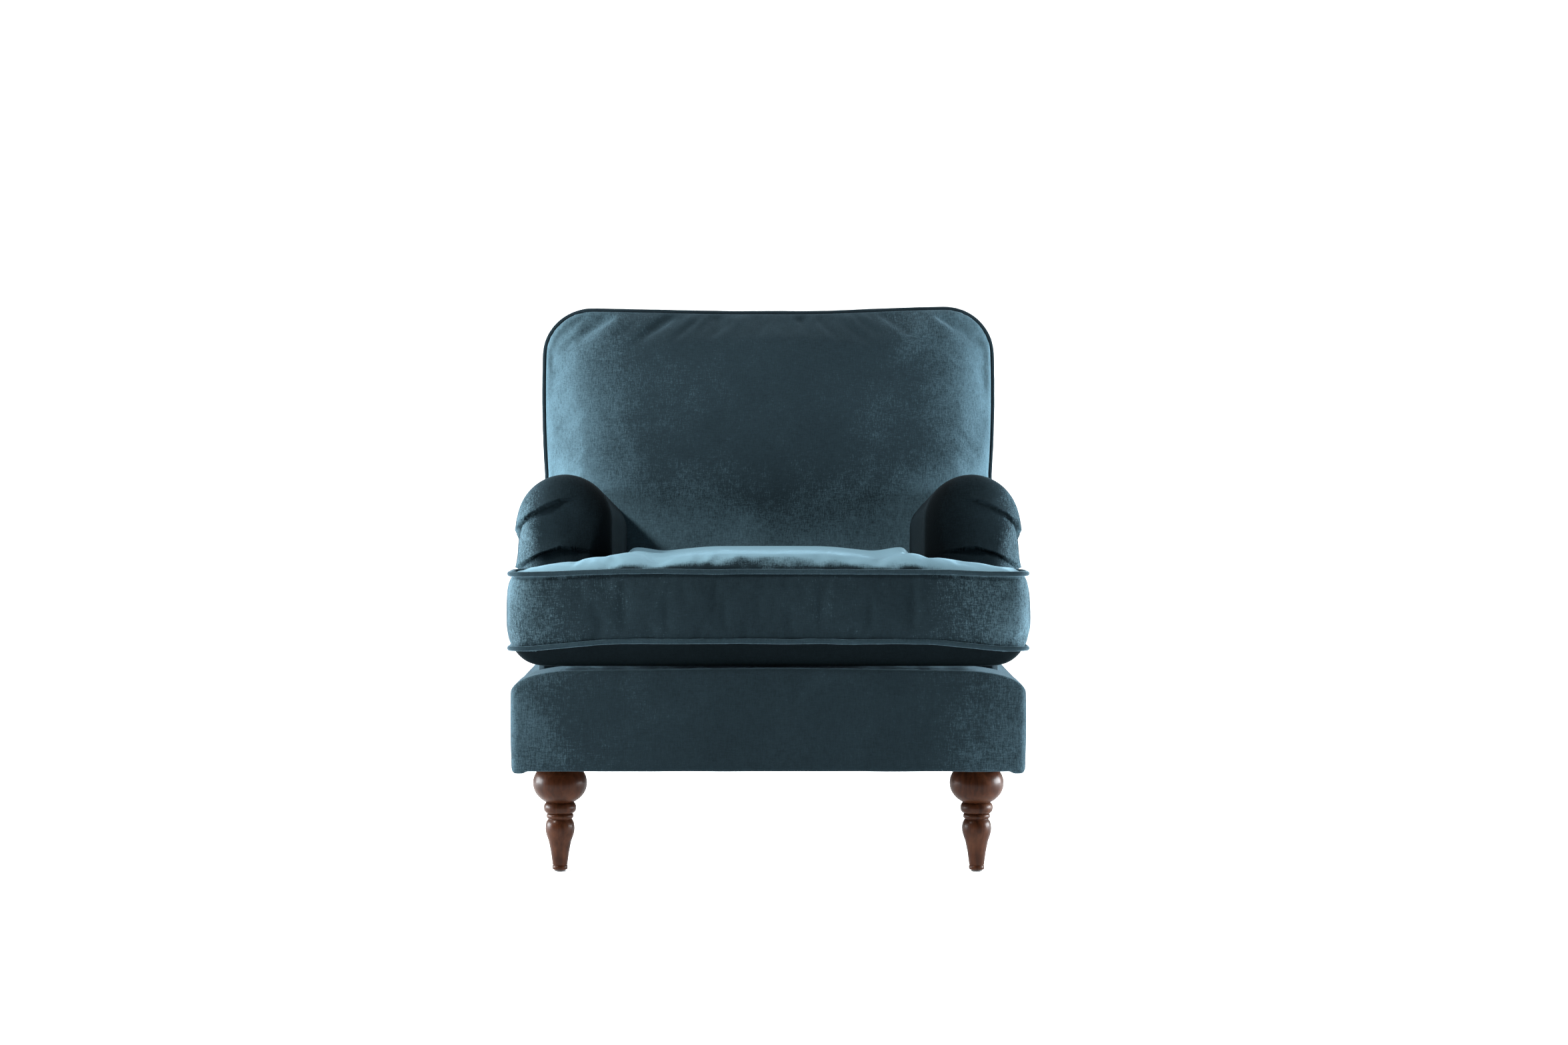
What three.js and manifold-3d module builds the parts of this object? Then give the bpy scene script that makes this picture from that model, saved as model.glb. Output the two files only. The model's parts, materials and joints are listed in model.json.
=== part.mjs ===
// English roll-arm armchair with a loose T-shaped seat cushion on a hardwood frame.
// Millimetres, +Z up. The chair faces -Y; X runs across it.
import * as THREE from "three";
import { mergeVertices } from "three/addons/utils/BufferGeometryUtils.js";
import Module from "manifold-3d";

const wasm = await Module();
wasm.setup();

// ---- Driving dimensions ------------------------------------------------------------------
const GAP = 0.3;                 // clearance between pieces that touch

// Base box
const BASE_WIDTH = 800;
const BASE_DEPTH = 765;
const LEG_HEIGHT = 163;          // floor to the underside of the base
const SHOULDER_RISE = 125;       // underside to the outer edge of the rounded shoulder
const PLATFORM_RISE = 161;       // underside to the platform that the cushion lies on
const SHOULDER_RUN = 82;         // width of the rounded shoulder
const LEDGE_RISE = 143;          // underside to the top of the side and rear borders
const SIDE_COVER = 3.7;          // cloth and felt over the side and rear rails
const FRONT_PADDING = 15.7;      // padding in front of the front rail

// Hardwood frame
const RAIL_THICKNESS = 34;
const RAIL_HEIGHT = 104;
const UNDERSIDE_WRAP = 1;        // cloth folded under the rails
const BLOCK_LEG = 90;            // short sides of the triangular corner blocks
const BLOCK_HEIGHT = 50;
const POST_THICKNESS = 28;
const POST_DEPTH = 50;
const BOARD_THICKNESS = 26;
const BOARD_WIDTH = 60;
const BOARD_SETBACK = 3;         // behind the front of the arm post
const SLAT_THICKNESS = 18;
const SLAT_HEIGHT = 45;

// Seat springs and deck
const SPRING_COUNT = 5;
const SPRING_PITCH = 95;
const SPRING_WIRE_RADIUS = 1.8;
const SPRING_HALF_WIDTH = 24;
const SPRING_BARS = 16;
const SPRING_ARCH = 9;
const DECK_THICKNESS = 40;

// Arms
const ARM_SETBACK = 110;         // front of the base to the front of the arms
const ARM_TOP_RISE = 299;        // platform to the top of the arm at its front
const ARM_ROLL_RADIUS = 75.6;
const ARM_ROLL_OVERHANG = 1.6;   // roll beyond the side of the base
const ARM_ROLL_SKIRT = 68;       // straight part of the roll's outer side
const ARM_PANEL_INSET = 32;      // outer arm panel inboard of the side of the base
const ARM_OUTER_WALL = 5.7;
const ARM_INNER_PAD = 45;
const ARM_FRONT_PAD = 40;
const ARM_TOP_PAD = 55;
const ARM_DROP = 50;             // fall of the arm from front to back
const ARM_SOFT_EDGE = 16;

// Back
const BACK_RECLINE = THREE.MathUtils.degToRad(12.1);
const BACK_FACE_DEPTH = 665;     // front of the base to the piping, at BACK_DATUM_RISE
const BACK_DATUM_RISE = 156;     // platform to the level where BACK_FACE_DEPTH is taken
const BACK_SIDE_INSET = 2.5;      // side of the back inboard of the side of the base
const BACK_TOP = 434;            // up the back from that level to its top seam
const BACK_FOOT = 195;           // down the back from that level to its lowest point
const BACK_CORNER_RADIUS = 78;
const BACK_CROWN = 45;           // face ahead of its piping
const BACK_SOFT_EDGE = 62;
const BACK_PAD_THICKNESS = 44;   // pad behind the piping
const BACK_BORDER_WALL = 12;
const BACK_DEPTH = 125;          // piping to the outer back panel
const BACK_PANEL_THICKNESS = 6;
const BACK_WEB_COUNT = 4;
const BACK_WEB_WIDTH = 50;
const BACK_WEB_THICKNESS = 3;

// Seat cushion
const CUSHION_FRONT = 3;         // behind the front of the base
const CUSHION_DEPTH = 577;
const CUSHION_HEIGHT = 175;      // crown to crown
const CUSHION_CROWN = 24;
const CUSHION_SOFT_EDGE = 14;
const CUSHION_EAR_INSET = 0.5;   // end of the ear inboard of the side of the base
const CUSHION_ARM_GAP = 11;      // between cushion panel and arm, room for the piping
const CUSHION_EAR_GAP = 10;
const CUSHION_CORNER = 20;
const CUSHION_NOTCH_CORNER = 10;
const CUSHION_TOP_SEAM = 24.5;   // below the top crown
const CUSHION_BOTTOM_SEAM = 38;  // above the bottom crown
const PIPING_RADIUS = 4;
const PIPING_SIDES = 6;

// Zip in the rear of the cushion
const ZIP_LENGTH = 440;
const ZIP_TAPE_HEIGHT = 28;
const ZIP_TAPE_THICKNESS = 1.2;
const ZIP_COIL = 5;
const ZIP_COIL_DEPTH = 2;
const ZIP_SLIDER = { width: 12, height: 15, depth: 2.5 };
const ZIP_TRAVEL = 380;
const ZIP_PULL = { width: 7, length: 14, thickness: 1.4, eye: 3.4 };
const ZIP_BRIDGE = 1.2;          // thickness of the slider's bridge

// Legs
const FRONT_LEG = { inset: 72, setback: 62 };
const BULB = { radius: 42.8, height: 35, rise: 139 };
const UPPER_RING = { radius: 25.7, neck: 19.7, rise: 100.3, height: 8.6 };
const LOWER_RING = { radius: 21.3, neck: 18.2, rise: 87.2, height: 4.4 };
const VASE = [[18.2, 82.6], [21.9, 76], [23.1, 68], [21.6, 58], [18, 47.8], [14.4, 30], [11.9, 11]];
const FOOT = { radius: 12.2, height: 9, groove: 11 };
const REAR_LEG = { top: 48, foot: 28, splay: 27, rake: 52 };
const BOLT_RADIUS = 4;
const BOLT_IN_LEG = 24;
const GLIDE = { radius: 8.5, height: 2.5 };
const LATHE_SEGMENTS = 24;
const DUST_COVER_THICKNESS = 1.2;

// ---- Derived places ----------------------------------------------------------------------
const HALF = BASE_WIDTH / 2;
const RAIL_BOTTOM = LEG_HEIGHT + UNDERSIDE_WRAP;
const RAIL_TOP = RAIL_BOTTOM + RAIL_HEIGHT;
const PLATFORM = LEG_HEIGHT + PLATFORM_RISE;
const LEDGE = LEG_HEIGHT + LEDGE_RISE;
const RAIL_OUTER = HALF - SIDE_COVER - GAP;
const RAIL_INNER = RAIL_OUTER - RAIL_THICKNESS;
const FRONT_RAIL_Y = FRONT_PADDING + GAP;
const FRONT_RAIL_BACK = FRONT_RAIL_Y + RAIL_THICKNESS;
const REAR_RAIL_BACK = BASE_DEPTH - SIDE_COVER - GAP;
const REAR_RAIL_Y = REAR_RAIL_BACK - RAIL_THICKNESS;
const SPRING_SEAT = RAIL_TOP + GAP + SPRING_WIRE_RADIUS;
const SPRING_ROOM = SPRING_SEAT + SPRING_ARCH + SPRING_WIRE_RADIUS + GAP;

const ARM_OUTER = HALF + ARM_ROLL_OVERHANG;
const ARM_AXIS = ARM_OUTER - ARM_ROLL_RADIUS;
const ARM_INNER = ARM_AXIS - ARM_ROLL_RADIUS;
const ARM_PANEL = HALF - ARM_PANEL_INSET;
const ARM_TOP = PLATFORM + ARM_TOP_RISE;
const ARM_ROLL_Z = ARM_TOP - ARM_ROLL_RADIUS;
const POST_OUTER = Math.min(RAIL_INNER, ARM_PANEL - ARM_OUTER_WALL) - GAP;
const POST_INNER = POST_OUTER - POST_THICKNESS;
const ARM_POST_Y = ARM_SETBACK + ARM_FRONT_PAD;
const ARM_CAVITY_TOP = ARM_TOP - ARM_TOP_PAD;
const ARM_CAVITY_INNER = ARM_INNER + ARM_INNER_PAD;
const ARM_LENGTH = BACK_FACE_DEPTH - ARM_SETBACK;
const ARM_FALL = ARM_DROP / ARM_LENGTH;

const BACK_DATUM = PLATFORM + BACK_DATUM_RISE;
const BACK_HALF = HALF - BACK_SIDE_INSET;
const WEB_FRONT = BACK_PAD_THICKNESS + GAP;
const BACK_POST_FRONT = WEB_FRONT + BACK_WEB_THICKNESS + GAP;

const CUSHION_BOTTOM = PLATFORM + GAP;
const CUSHION_BACK = CUSHION_FRONT + CUSHION_DEPTH;
const CUSHION_EAR_HALF = HALF - CUSHION_EAR_INSET;
const CUSHION_BODY_HALF = ARM_INNER - CUSHION_ARM_GAP;
const CUSHION_EAR_BACK = ARM_SETBACK - CUSHION_EAR_GAP;
const PIPING_OFFSET = PIPING_RADIUS + GAP;

const LEG_TOP = RAIL_BOTTOM - GAP;
const REAR_LEG_X = RAIL_INNER - REAR_LEG.top * 0.36;
const REAR_LEG_Y = REAR_RAIL_Y - REAR_LEG.top * 0.4;
const FRONT_LEG_X = HALF - FRONT_LEG.inset;
const BOLT_TOP = RAIL_BOTTOM + BLOCK_HEIGHT - GAP;

// ---- Materials ---------------------------------------------------------------------------
const paint = (color, roughness, metalness = 0) => () =>
  new THREE.MeshStandardMaterial({ color, roughness, metalness });
const velvet = paint(0x2b3f49, 0.9);
const pipingCloth = paint(0x1a2a33, 0.9);
const deckCloth = paint(0x23343d, 0.95);
const hardwood = paint(0xc9a06c, 0.7);
const walnut = paint(0x4a2c1c, 0.4);
const springSteel = paint(0x70757a, 0.35, 1);
const webbing = paint(0x2e2a26, 0.9);
const blackCloth = paint(0x141414, 0.95);
const nickel = paint(0x9a9ca0, 0.3, 1);
const darkPlastic = paint(0x1c2529, 0.6);

// ---- Helpers -----------------------------------------------------------------------------
function addPart(group, name, geometry, material) {
  const mesh = new THREE.Mesh(geometry, material());
  mesh.name = name;
  group.add(mesh);
  return mesh;
}

function block(x0, x1, y0, y1, z0, z1) {
  const geometry = new THREE.BoxGeometry(x1 - x0, y1 - y0, z1 - z0);
  return geometry.translate((x0 + x1) / 2, (y0 + y1) / 2, (z0 + z1) / 2);
}

// A block given by its distances from the middle of the chair, on one side of it.
function sideBlock(side, x0, x1, y0, y1, z0, z1) {
  const [low, high] = side > 0 ? [x0, x1] : [-x1, -x0];
  return block(low, high, y0, y1, z0, z1);
}

function toSolid(geometry) {
  const bare = geometry.clone();
  bare.deleteAttribute("normal");
  bare.deleteAttribute("uv");
  const merged = mergeVertices(bare, 1e-3);
  const mesh = new wasm.Mesh({
    numProp: 3,
    vertProperties: new Float32Array(merged.attributes.position.array),
    triVerts: new Uint32Array(merged.index.array),
  });
  return new wasm.Manifold(mesh);
}

function toGeometry(solid) {
  const mesh = solid.getMesh();
  const geometry = new THREE.BufferGeometry();
  geometry.setAttribute("position", new THREE.BufferAttribute(mesh.vertProperties, 3));
  geometry.setIndex(new THREE.BufferAttribute(mesh.triVerts, 1));
  geometry.computeVertexNormals();
  return geometry;
}

function subtract(geometry, ...tools) {
  const result = tools.reduce((solid, tool) => solid.subtract(toSolid(tool)), toSolid(geometry));
  return toGeometry(result);
}

function join(first, second) {
  return toGeometry(toSolid(first).add(toSolid(second)));
}

// An outline in X and Z, drawn out along Y from y0 to y1. The edge is rounded inwards.
function drawnAlongY(shape, y0, y1, edge = 0, edgeDepth = edge) {
  const geometry = new THREE.ExtrudeGeometry(shape, {
    depth: y1 - y0 - 2 * edgeDepth,
    bevelEnabled: edge > 0,
    bevelSize: edge,
    bevelOffset: -edge,
    bevelThickness: edgeDepth,
    bevelSegments: 4,
    curveSegments: 10,
  });
  return geometry.rotateX(Math.PI / 2).translate(0, y1 - edgeDepth, 0);
}

// An outline in X and Y, drawn up from z0 to z1.
function drawnUp(shape, z0, z1, edge = 0, edgeDepth = edge, curveSegments = 3) {
  const geometry = new THREE.ExtrudeGeometry(shape, {
    depth: z1 - z0 - 2 * edgeDepth,
    bevelEnabled: edge > 0,
    bevelSize: edge,
    bevelOffset: -edge,
    bevelThickness: edgeDepth,
    bevelSegments: 3,
    curveSegments,
  });
  return geometry.translate(0, 0, z0 + edgeDepth);
}

// A route through points with one step of a tube between each two of them.
class Route extends THREE.Curve {
  constructor(points, closed = false) {
    super();
    this.points = closed ? [...points, points[0]] : points;
  }
  getPoint(t, target = new THREE.Vector3()) {
    const place = THREE.MathUtils.clamp(t, 0, 1) * (this.points.length - 1);
    const start = Math.min(Math.floor(place), this.points.length - 2);
    return target.lerpVectors(this.points[start], this.points[start + 1], place - start);
  }
  getPointAt(t, target) {
    return this.getPoint(t, target);
  }
  getTangentAt(t, target) {
    return this.getTangent(t, target);
  }
}

function ringTube(points, radius, sides) {
  return new THREE.TubeGeometry(new Route(points, true), points.length, radius, sides, true);
}

function openTube(points, radius, sides) {
  const section = new THREE.Shape();
  for (let i = 0; i < sides; i += 1) {
    const angle = (2 * Math.PI * i) / sides;
    const place = [radius * Math.cos(angle), radius * Math.sin(angle)];
    if (i === 0) section.moveTo(...place);
    else section.lineTo(...place);
  }
  return new THREE.ExtrudeGeometry(section, {
    steps: points.length - 1,
    extrudePath: new Route(points),
  });
}

// ---- Frame -------------------------------------------------------------------------------
function addSeatRails(group) {
  const rail = (name, ...size) =>
    addPart(group, name, block(...size, RAIL_BOTTOM, RAIL_TOP), hardwood);
  rail("front_rail", -RAIL_OUTER, RAIL_OUTER, FRONT_RAIL_Y, FRONT_RAIL_BACK);
  rail("rear_rail", -RAIL_OUTER, RAIL_OUTER, REAR_RAIL_Y, REAR_RAIL_BACK);
  rail("side_rail_left", -RAIL_OUTER, -RAIL_INNER, FRONT_RAIL_BACK + GAP, REAR_RAIL_Y - GAP);
  rail("side_rail_right", RAIL_INNER, RAIL_OUTER, FRONT_RAIL_BACK + GAP, REAR_RAIL_Y - GAP);
}

function cornerBlock(side, cornerY, inward, boltX, boltY) {
  const cornerX = RAIL_INNER - GAP;
  const shape = new THREE.Shape();
  shape.moveTo(side * cornerX, cornerY);
  shape.lineTo(side * (cornerX - BLOCK_LEG), cornerY);
  shape.lineTo(side * cornerX, cornerY + inward * BLOCK_LEG);
  shape.closePath();
  const hole = new THREE.Path();
  hole.absarc(side * boltX, boltY, BOLT_RADIUS + GAP, 0, 2 * Math.PI);
  shape.holes.push(hole);
  return drawnUp(shape, RAIL_BOTTOM, RAIL_BOTTOM + BLOCK_HEIGHT, 0, 0, 8);
}

function addCornerBlocks(group) {
  const frontY = FRONT_RAIL_BACK + GAP;
  const rearY = REAR_RAIL_Y - GAP;
  for (const [name, side] of [["left", -1], ["right", 1]]) {
    const front = cornerBlock(side, frontY, 1, FRONT_LEG_X, FRONT_LEG.setback);
    const rear = cornerBlock(side, rearY, -1, REAR_LEG_X, REAR_LEG_Y);
    addPart(group, `front_corner_block_${name}`, front, hardwood);
    addPart(group, `rear_corner_block_${name}`, rear, hardwood);
  }
}

function armBoardTopAt(y) {
  return ARM_CAVITY_TOP - 2 - ARM_FALL * (y - ARM_POST_Y);
}

// Depth at height z of a plane that lies the given distance behind the back's piping.
function leaningPlaneAt(z, distance) {
  const lean = Math.tan(BACK_RECLINE);
  return BACK_FACE_DEPTH + (z - BACK_DATUM) * lean + distance / Math.cos(BACK_RECLINE);
}

function backPostFrontAt(z) {
  return leaningPlaneAt(z, BACK_POST_FRONT);
}

function backPostRearAt(z) {
  return leaningPlaneAt(z, BACK_POST_FRONT + POST_DEPTH);
}

function addArmFrame(group, name, side) {
  const boardBottom = armBoardTopAt(ARM_POST_Y + POST_DEPTH) - BOARD_THICKNESS;
  const post = sideBlock(side, POST_INNER, POST_OUTER, ARM_POST_Y, ARM_POST_Y + POST_DEPTH,
    RAIL_BOTTOM + 8, boardBottom - 2);
  addPart(group, `arm_post_${name}`, post, hardwood);

  const boardEnd = backPostFrontAt(armBoardTopAt(BACK_FACE_DEPTH) - 2 * BOARD_THICKNESS) - GAP;
  const boardLength = (boardEnd - ARM_POST_Y - BOARD_SETBACK) / Math.cos(Math.atan(ARM_FALL));
  const boardInner = POST_OUTER - BOARD_WIDTH;
  const board = sideBlock(side, boardInner, POST_OUTER, 0, boardLength, -BOARD_THICKNESS, 0);
  const mesh = addPart(group, `arm_board_${name}`, board, hardwood);
  mesh.rotation.x = -Math.atan(ARM_FALL);
  mesh.position.set(0, ARM_POST_Y + BOARD_SETBACK, armBoardTopAt(ARM_POST_Y + BOARD_SETBACK));

  const slatBottom = PLATFORM + 6;
  const slatEnd = backPostFrontAt(slatBottom) - GAP;
  const slat = sideBlock(side, POST_OUTER - SLAT_THICKNESS, POST_OUTER,
    ARM_POST_Y + POST_DEPTH + GAP, slatEnd, slatBottom, slatBottom + SLAT_HEIGHT);
  addPart(group, `arm_slat_${name}`, slat, hardwood);
}

function addBackFrame(back) {
  const rear = BACK_POST_FRONT + POST_DEPTH;
  const innerRadius = BACK_CORNER_RADIUS - BACK_BORDER_WALL;
  const intoCorner = Math.max(0, POST_OUTER - BACK_HALF + BACK_CORNER_RADIUS);
  const top = BACK_TOP - BACK_CORNER_RADIUS + Math.sqrt(innerRadius ** 2 - intoCorner ** 2) - 2;
  const lean = Math.tan(BACK_RECLINE);
  const blockTop = RAIL_BOTTOM + BLOCK_HEIGHT + 2;
  const foot = (blockTop - BACK_DATUM) / Math.cos(BACK_RECLINE) + rear * lean;
  for (const [name, side] of [["left", -1], ["right", 1]]) {
    const post = sideBlock(side, POST_INNER, POST_OUTER, BACK_POST_FRONT, rear, foot, top);
    addPart(back, `back_post_${name}`, post, hardwood);
  }
  const inner = POST_INNER - GAP;
  const railBack = BACK_POST_FRONT + POST_THICKNESS;
  const lowerFoot = (PLATFORM + 8 - BACK_DATUM) / Math.cos(BACK_RECLINE) + railBack * lean;
  addPart(back, "back_top_rail",
    block(-inner, inner, BACK_POST_FRONT, railBack, top - 60, top), hardwood);
  addPart(back, "back_lower_rail",
    block(-inner, inner, BACK_POST_FRONT, railBack, lowerFoot, lowerFoot + 50), hardwood);
}

// ---- Springs and webs --------------------------------------------------------------------
// A flat zigzag of straight bars and half-round bends, arched upwards in its middle.
function springRoute(x) {
  const start = FRONT_RAIL_Y + RAIL_THICKNESS * 0.4;
  const end = REAR_RAIL_BACK - RAIL_THICKNESS * 0.4;
  const bend = (end - start) / SPRING_BARS / 2;
  const points = [];
  for (let bar = 0; bar <= SPRING_BARS; bar += 1) {
    const side = bar % 2 ? 1 : -1;
    const y = start + bar * 2 * bend;
    const bends = bar < SPRING_BARS ? [-90, -30, 30, 90] : [-90];
    if (bar === 0) points.push([x - side * SPRING_HALF_WIDTH, y]);
    for (const degrees of bends) {
      const angle = THREE.MathUtils.degToRad(degrees);
      const reach = SPRING_HALF_WIDTH - bend * 0.5 + bend * 0.5 * Math.cos(angle);
      points.push([x + side * reach, y + bend + bend * Math.sin(angle)]);
    }
  }
  return points.map(([px, py]) => {
    const share = (py - start) / (end - start);
    return new THREE.Vector3(px, py, SPRING_SEAT + SPRING_ARCH * Math.sin(Math.PI * share));
  });
}

function addSprings(group) {
  for (let i = 0; i < SPRING_COUNT; i += 1) {
    const x = (i - (SPRING_COUNT - 1) / 2) * SPRING_PITCH;
    const wire = openTube(springRoute(x), SPRING_WIRE_RADIUS, 5);
    addPart(group, `seat_spring_${i + 1}`, wire, springSteel);
  }
}

function addBackWebs(back) {
  const low = -BACK_DATUM_RISE + 40;
  const pitch = (BACK_TOP - 40 - low) / BACK_WEB_COUNT;
  for (let i = 0; i < BACK_WEB_COUNT; i += 1) {
    const z = low + (i + 0.5) * pitch;
    const web = block(-POST_OUTER, POST_OUTER, WEB_FRONT, WEB_FRONT + BACK_WEB_THICKNESS,
      z - BACK_WEB_WIDTH / 2, z + BACK_WEB_WIDTH / 2);
    addPart(back, `back_web_${i + 1}`, web, webbing);
  }
}

// ---- Base upholstery ---------------------------------------------------------------------
function frontBorderShape() {
  const shoulder = LEG_HEIGHT + SHOULDER_RISE;
  const flat = HALF - SHOULDER_RUN;
  const shape = new THREE.Shape();
  shape.moveTo(-HALF, LEG_HEIGHT);
  shape.lineTo(HALF, LEG_HEIGHT);
  shape.lineTo(HALF, shoulder);
  shape.quadraticCurveTo(HALF - 8, PLATFORM - 9, flat, PLATFORM - 4);
  shape.lineTo(0, PLATFORM);
  shape.lineTo(-flat, PLATFORM - 4);
  shape.quadraticCurveTo(-HALF + 8, PLATFORM - 9, -HALF, shoulder);
  shape.closePath();
  return shape;
}

function addFrontBorder(group) {
  const end = ARM_SETBACK - GAP;
  const body = drawnAlongY(frontBorderShape(), 0, end, 7);
  const railRoom = block(-HALF + SIDE_COVER, HALF - SIDE_COVER, FRONT_PADDING, end + 1,
    LEG_HEIGHT - 1, RAIL_TOP + GAP);
  const springHalf = SPRING_PITCH * (SPRING_COUNT - 1) / 2 + SPRING_HALF_WIDTH + 6;
  const springRoom = block(-springHalf, springHalf, FRONT_PADDING, end + 1,
    LEG_HEIGHT, SPRING_ROOM);
  addPart(group, "front_border", subtract(body, railRoom, springRoom), velvet);
}

function addSideBorders(group) {
  const edge = LEG_HEIGHT + SHOULDER_RISE;
  for (const [name, side] of [["left", -1], ["right", 1]]) {
    const shape = new THREE.Shape();
    shape.moveTo(side * HALF, LEG_HEIGHT);
    shape.lineTo(side * HALF, edge);
    shape.quadraticCurveTo(side * (HALF - 3), LEDGE - 3, side * (ARM_PANEL + GAP), LEDGE);
    shape.lineTo(side * (ARM_PANEL + GAP), RAIL_TOP + GAP);
    shape.lineTo(side * (HALF - SIDE_COVER), RAIL_TOP + GAP);
    shape.lineTo(side * (HALF - SIDE_COVER), LEG_HEIGHT);
    shape.closePath();
    const strip = drawnAlongY(shape, ARM_SETBACK, BASE_DEPTH - SIDE_COVER - GAP);
    addPart(group, `side_border_${name}`, strip, velvet);
  }
}

function addRearBorder(group) {
  const front = BASE_DEPTH - SIDE_COVER;
  const sheet = block(-HALF, HALF, front, BASE_DEPTH, LEG_HEIGHT, LEDGE);
  const lipFront = Math.max(REAR_RAIL_Y + 6, backPostRearAt(LEDGE) + 2);
  const lip = block(-ARM_PANEL, ARM_PANEL, lipFront, front + 1, SPRING_ROOM, LEDGE);
  addPart(group, "rear_border", join(sheet, lip), velvet);
}

function addSeatDeck(group) {
  const half = ARM_INNER - GAP * 2;
  const end = CUSHION_BACK + 6;
  const deck = block(-half, half, ARM_SETBACK + GAP, end, PLATFORM - DECK_THICKNESS, PLATFORM);
  const springHalf = SPRING_PITCH * (SPRING_COUNT - 1) / 2 + SPRING_HALF_WIDTH + 6;
  const room = block(-springHalf, springHalf, ARM_SETBACK - 1, end + 1,
    PLATFORM - DECK_THICKNESS - 1, SPRING_ROOM);
  const clear = SPRING_ROOM > PLATFORM - DECK_THICKNESS;
  addPart(group, "seat_deck", clear ? subtract(deck, room) : deck, deckCloth);
}

function addDustCover(group) {
  const half = HALF - 10;
  const top = RAIL_BOTTOM - GAP;
  const bottom = top - DUST_COVER_THICKNESS;
  const sheet = block(-half, half, FRONT_RAIL_Y + 4, BASE_DEPTH - 10, bottom, top);
  const holes = [];
  for (const side of [-1, 1]) {
    const hole = new THREE.CylinderGeometry(BULB.radius, BULB.radius, 10, LATHE_SEGMENTS);
    hole.rotateX(Math.PI / 2).translate(side * FRONT_LEG_X, FRONT_LEG.setback, top);
    const room = REAR_LEG.top / 2 + 1;
    holes.push(hole, sideBlock(side, REAR_LEG_X - room, REAR_LEG_X + room,
      REAR_LEG_Y - room, REAR_LEG_Y + room, bottom - 5, top + 5));
  }
  addPart(group, "dust_cover", subtract(sheet, ...holes), blackCloth);
}

// ---- Arms --------------------------------------------------------------------------------
function armShape(side) {
  const low = RAIL_TOP + 1;
  const skirt = ARM_ROLL_Z - ARM_ROLL_SKIRT;
  const tuck = ARM_OUTER - ARM_PANEL;
  const shape = new THREE.Shape();
  shape.moveTo(side * ARM_INNER, low);
  shape.lineTo(side * ARM_INNER, ARM_ROLL_Z);
  const [from, to] = side > 0 ? [Math.PI, 0] : [0, Math.PI];
  shape.absarc(side * ARM_AXIS, ARM_ROLL_Z, ARM_ROLL_RADIUS, from, to, side > 0);
  shape.lineTo(side * ARM_OUTER, skirt);
  shape.quadraticCurveTo(side * ARM_OUTER, skirt - tuck, side * ARM_PANEL, skirt - tuck);
  shape.lineTo(side * ARM_PANEL, low);
  shape.closePath();
  return shape;
}

// Lowers the arm towards the back, most at its top.
function fallTowardsBack(geometry) {
  const place = geometry.attributes.position;
  for (let i = 0; i < place.count; i += 1) {
    const rise = (place.getZ(i) - RAIL_TOP) / (ARM_TOP - RAIL_TOP);
    place.setZ(i, place.getZ(i) - ARM_FALL * (place.getY(i) - ARM_SETBACK) * rise);
  }
  return geometry;
}

function addArm(group, name, side, backSpace) {
  const body = drawnAlongY(armShape(side), ARM_SETBACK, BACK_FACE_DEPTH + 60, ARM_SOFT_EDGE);
  const cavity = sideBlock(side, POST_OUTER + GAP - BOARD_WIDTH - 2 * GAP, POST_OUTER + GAP,
    ARM_POST_Y - GAP, BACK_FACE_DEPTH + 80, RAIL_TOP - 5, ARM_CAVITY_TOP);
  const arm = subtract(fallTowardsBack(body), cavity, ...backSpace);
  addPart(group, `arm_pad_${name}`, arm, velvet);
}

// ---- Back --------------------------------------------------------------------------------
// The outline of the back: X across and Z up the back, with an inset all round.
function backShape(inset = 0) {
  const half = BACK_HALF - inset;
  const top = BACK_TOP - inset;
  const radius = BACK_CORNER_RADIUS - inset;
  const shape = new THREE.Shape();
  shape.moveTo(-half, -BACK_FOOT);
  shape.lineTo(half, -BACK_FOOT);
  shape.lineTo(half, top - radius);
  shape.absarc(half - radius, top - radius, radius, 0, Math.PI / 2);
  shape.absarc(-half + radius, top - radius, radius, Math.PI / 2, Math.PI);
  shape.closePath();
  return shape;
}

function backPadBody() {
  const reach = BACK_CROWN;
  const body = drawnAlongY(backShape(), -reach, BACK_PAD_THICKNESS + reach, BACK_SOFT_EDGE, reach);
  const behind = block(-BASE_WIDTH, BASE_WIDTH, BACK_PAD_THICKNESS, BACK_PAD_THICKNESS + 2 * reach,
    -2 * BACK_FOOT, 2 * BACK_TOP);
  return subtract(body, behind);
}

// A geometry given in the chair's axes, turned into the back's own axes.
function inBackAxes(geometry) {
  return geometry.translate(0, -BACK_FACE_DEPTH, -BACK_DATUM).rotateX(BACK_RECLINE);
}

function inChairAxes(geometry) {
  return geometry.rotateX(-BACK_RECLINE).translate(0, BACK_FACE_DEPTH, BACK_DATUM);
}

function belowLedge() {
  return inBackAxes(block(-BASE_WIDTH, BASE_WIDTH, 0, 2 * BASE_DEPTH, 0, LEDGE + GAP));
}

function armFrameRoom(side) {
  const top = armBoardTopAt(BACK_FACE_DEPTH - 50) + 2;
  const bottom = armBoardTopAt(BACK_FACE_DEPTH + 70) - BOARD_THICKNESS - 2;
  const inner = POST_OUTER - BOARD_WIDTH - 1;
  const ends = [BACK_FACE_DEPTH - 150, BACK_FACE_DEPTH + 150];
  const board = sideBlock(side, inner, POST_OUTER + 1, ...ends, bottom, top);
  const slat = sideBlock(side, POST_OUTER - SLAT_THICKNESS - 1, POST_OUTER + 1, ...ends,
    PLATFORM + 5, PLATFORM + SLAT_HEIGHT + 7);
  return [inBackAxes(board), inBackAxes(slat)];
}

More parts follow.
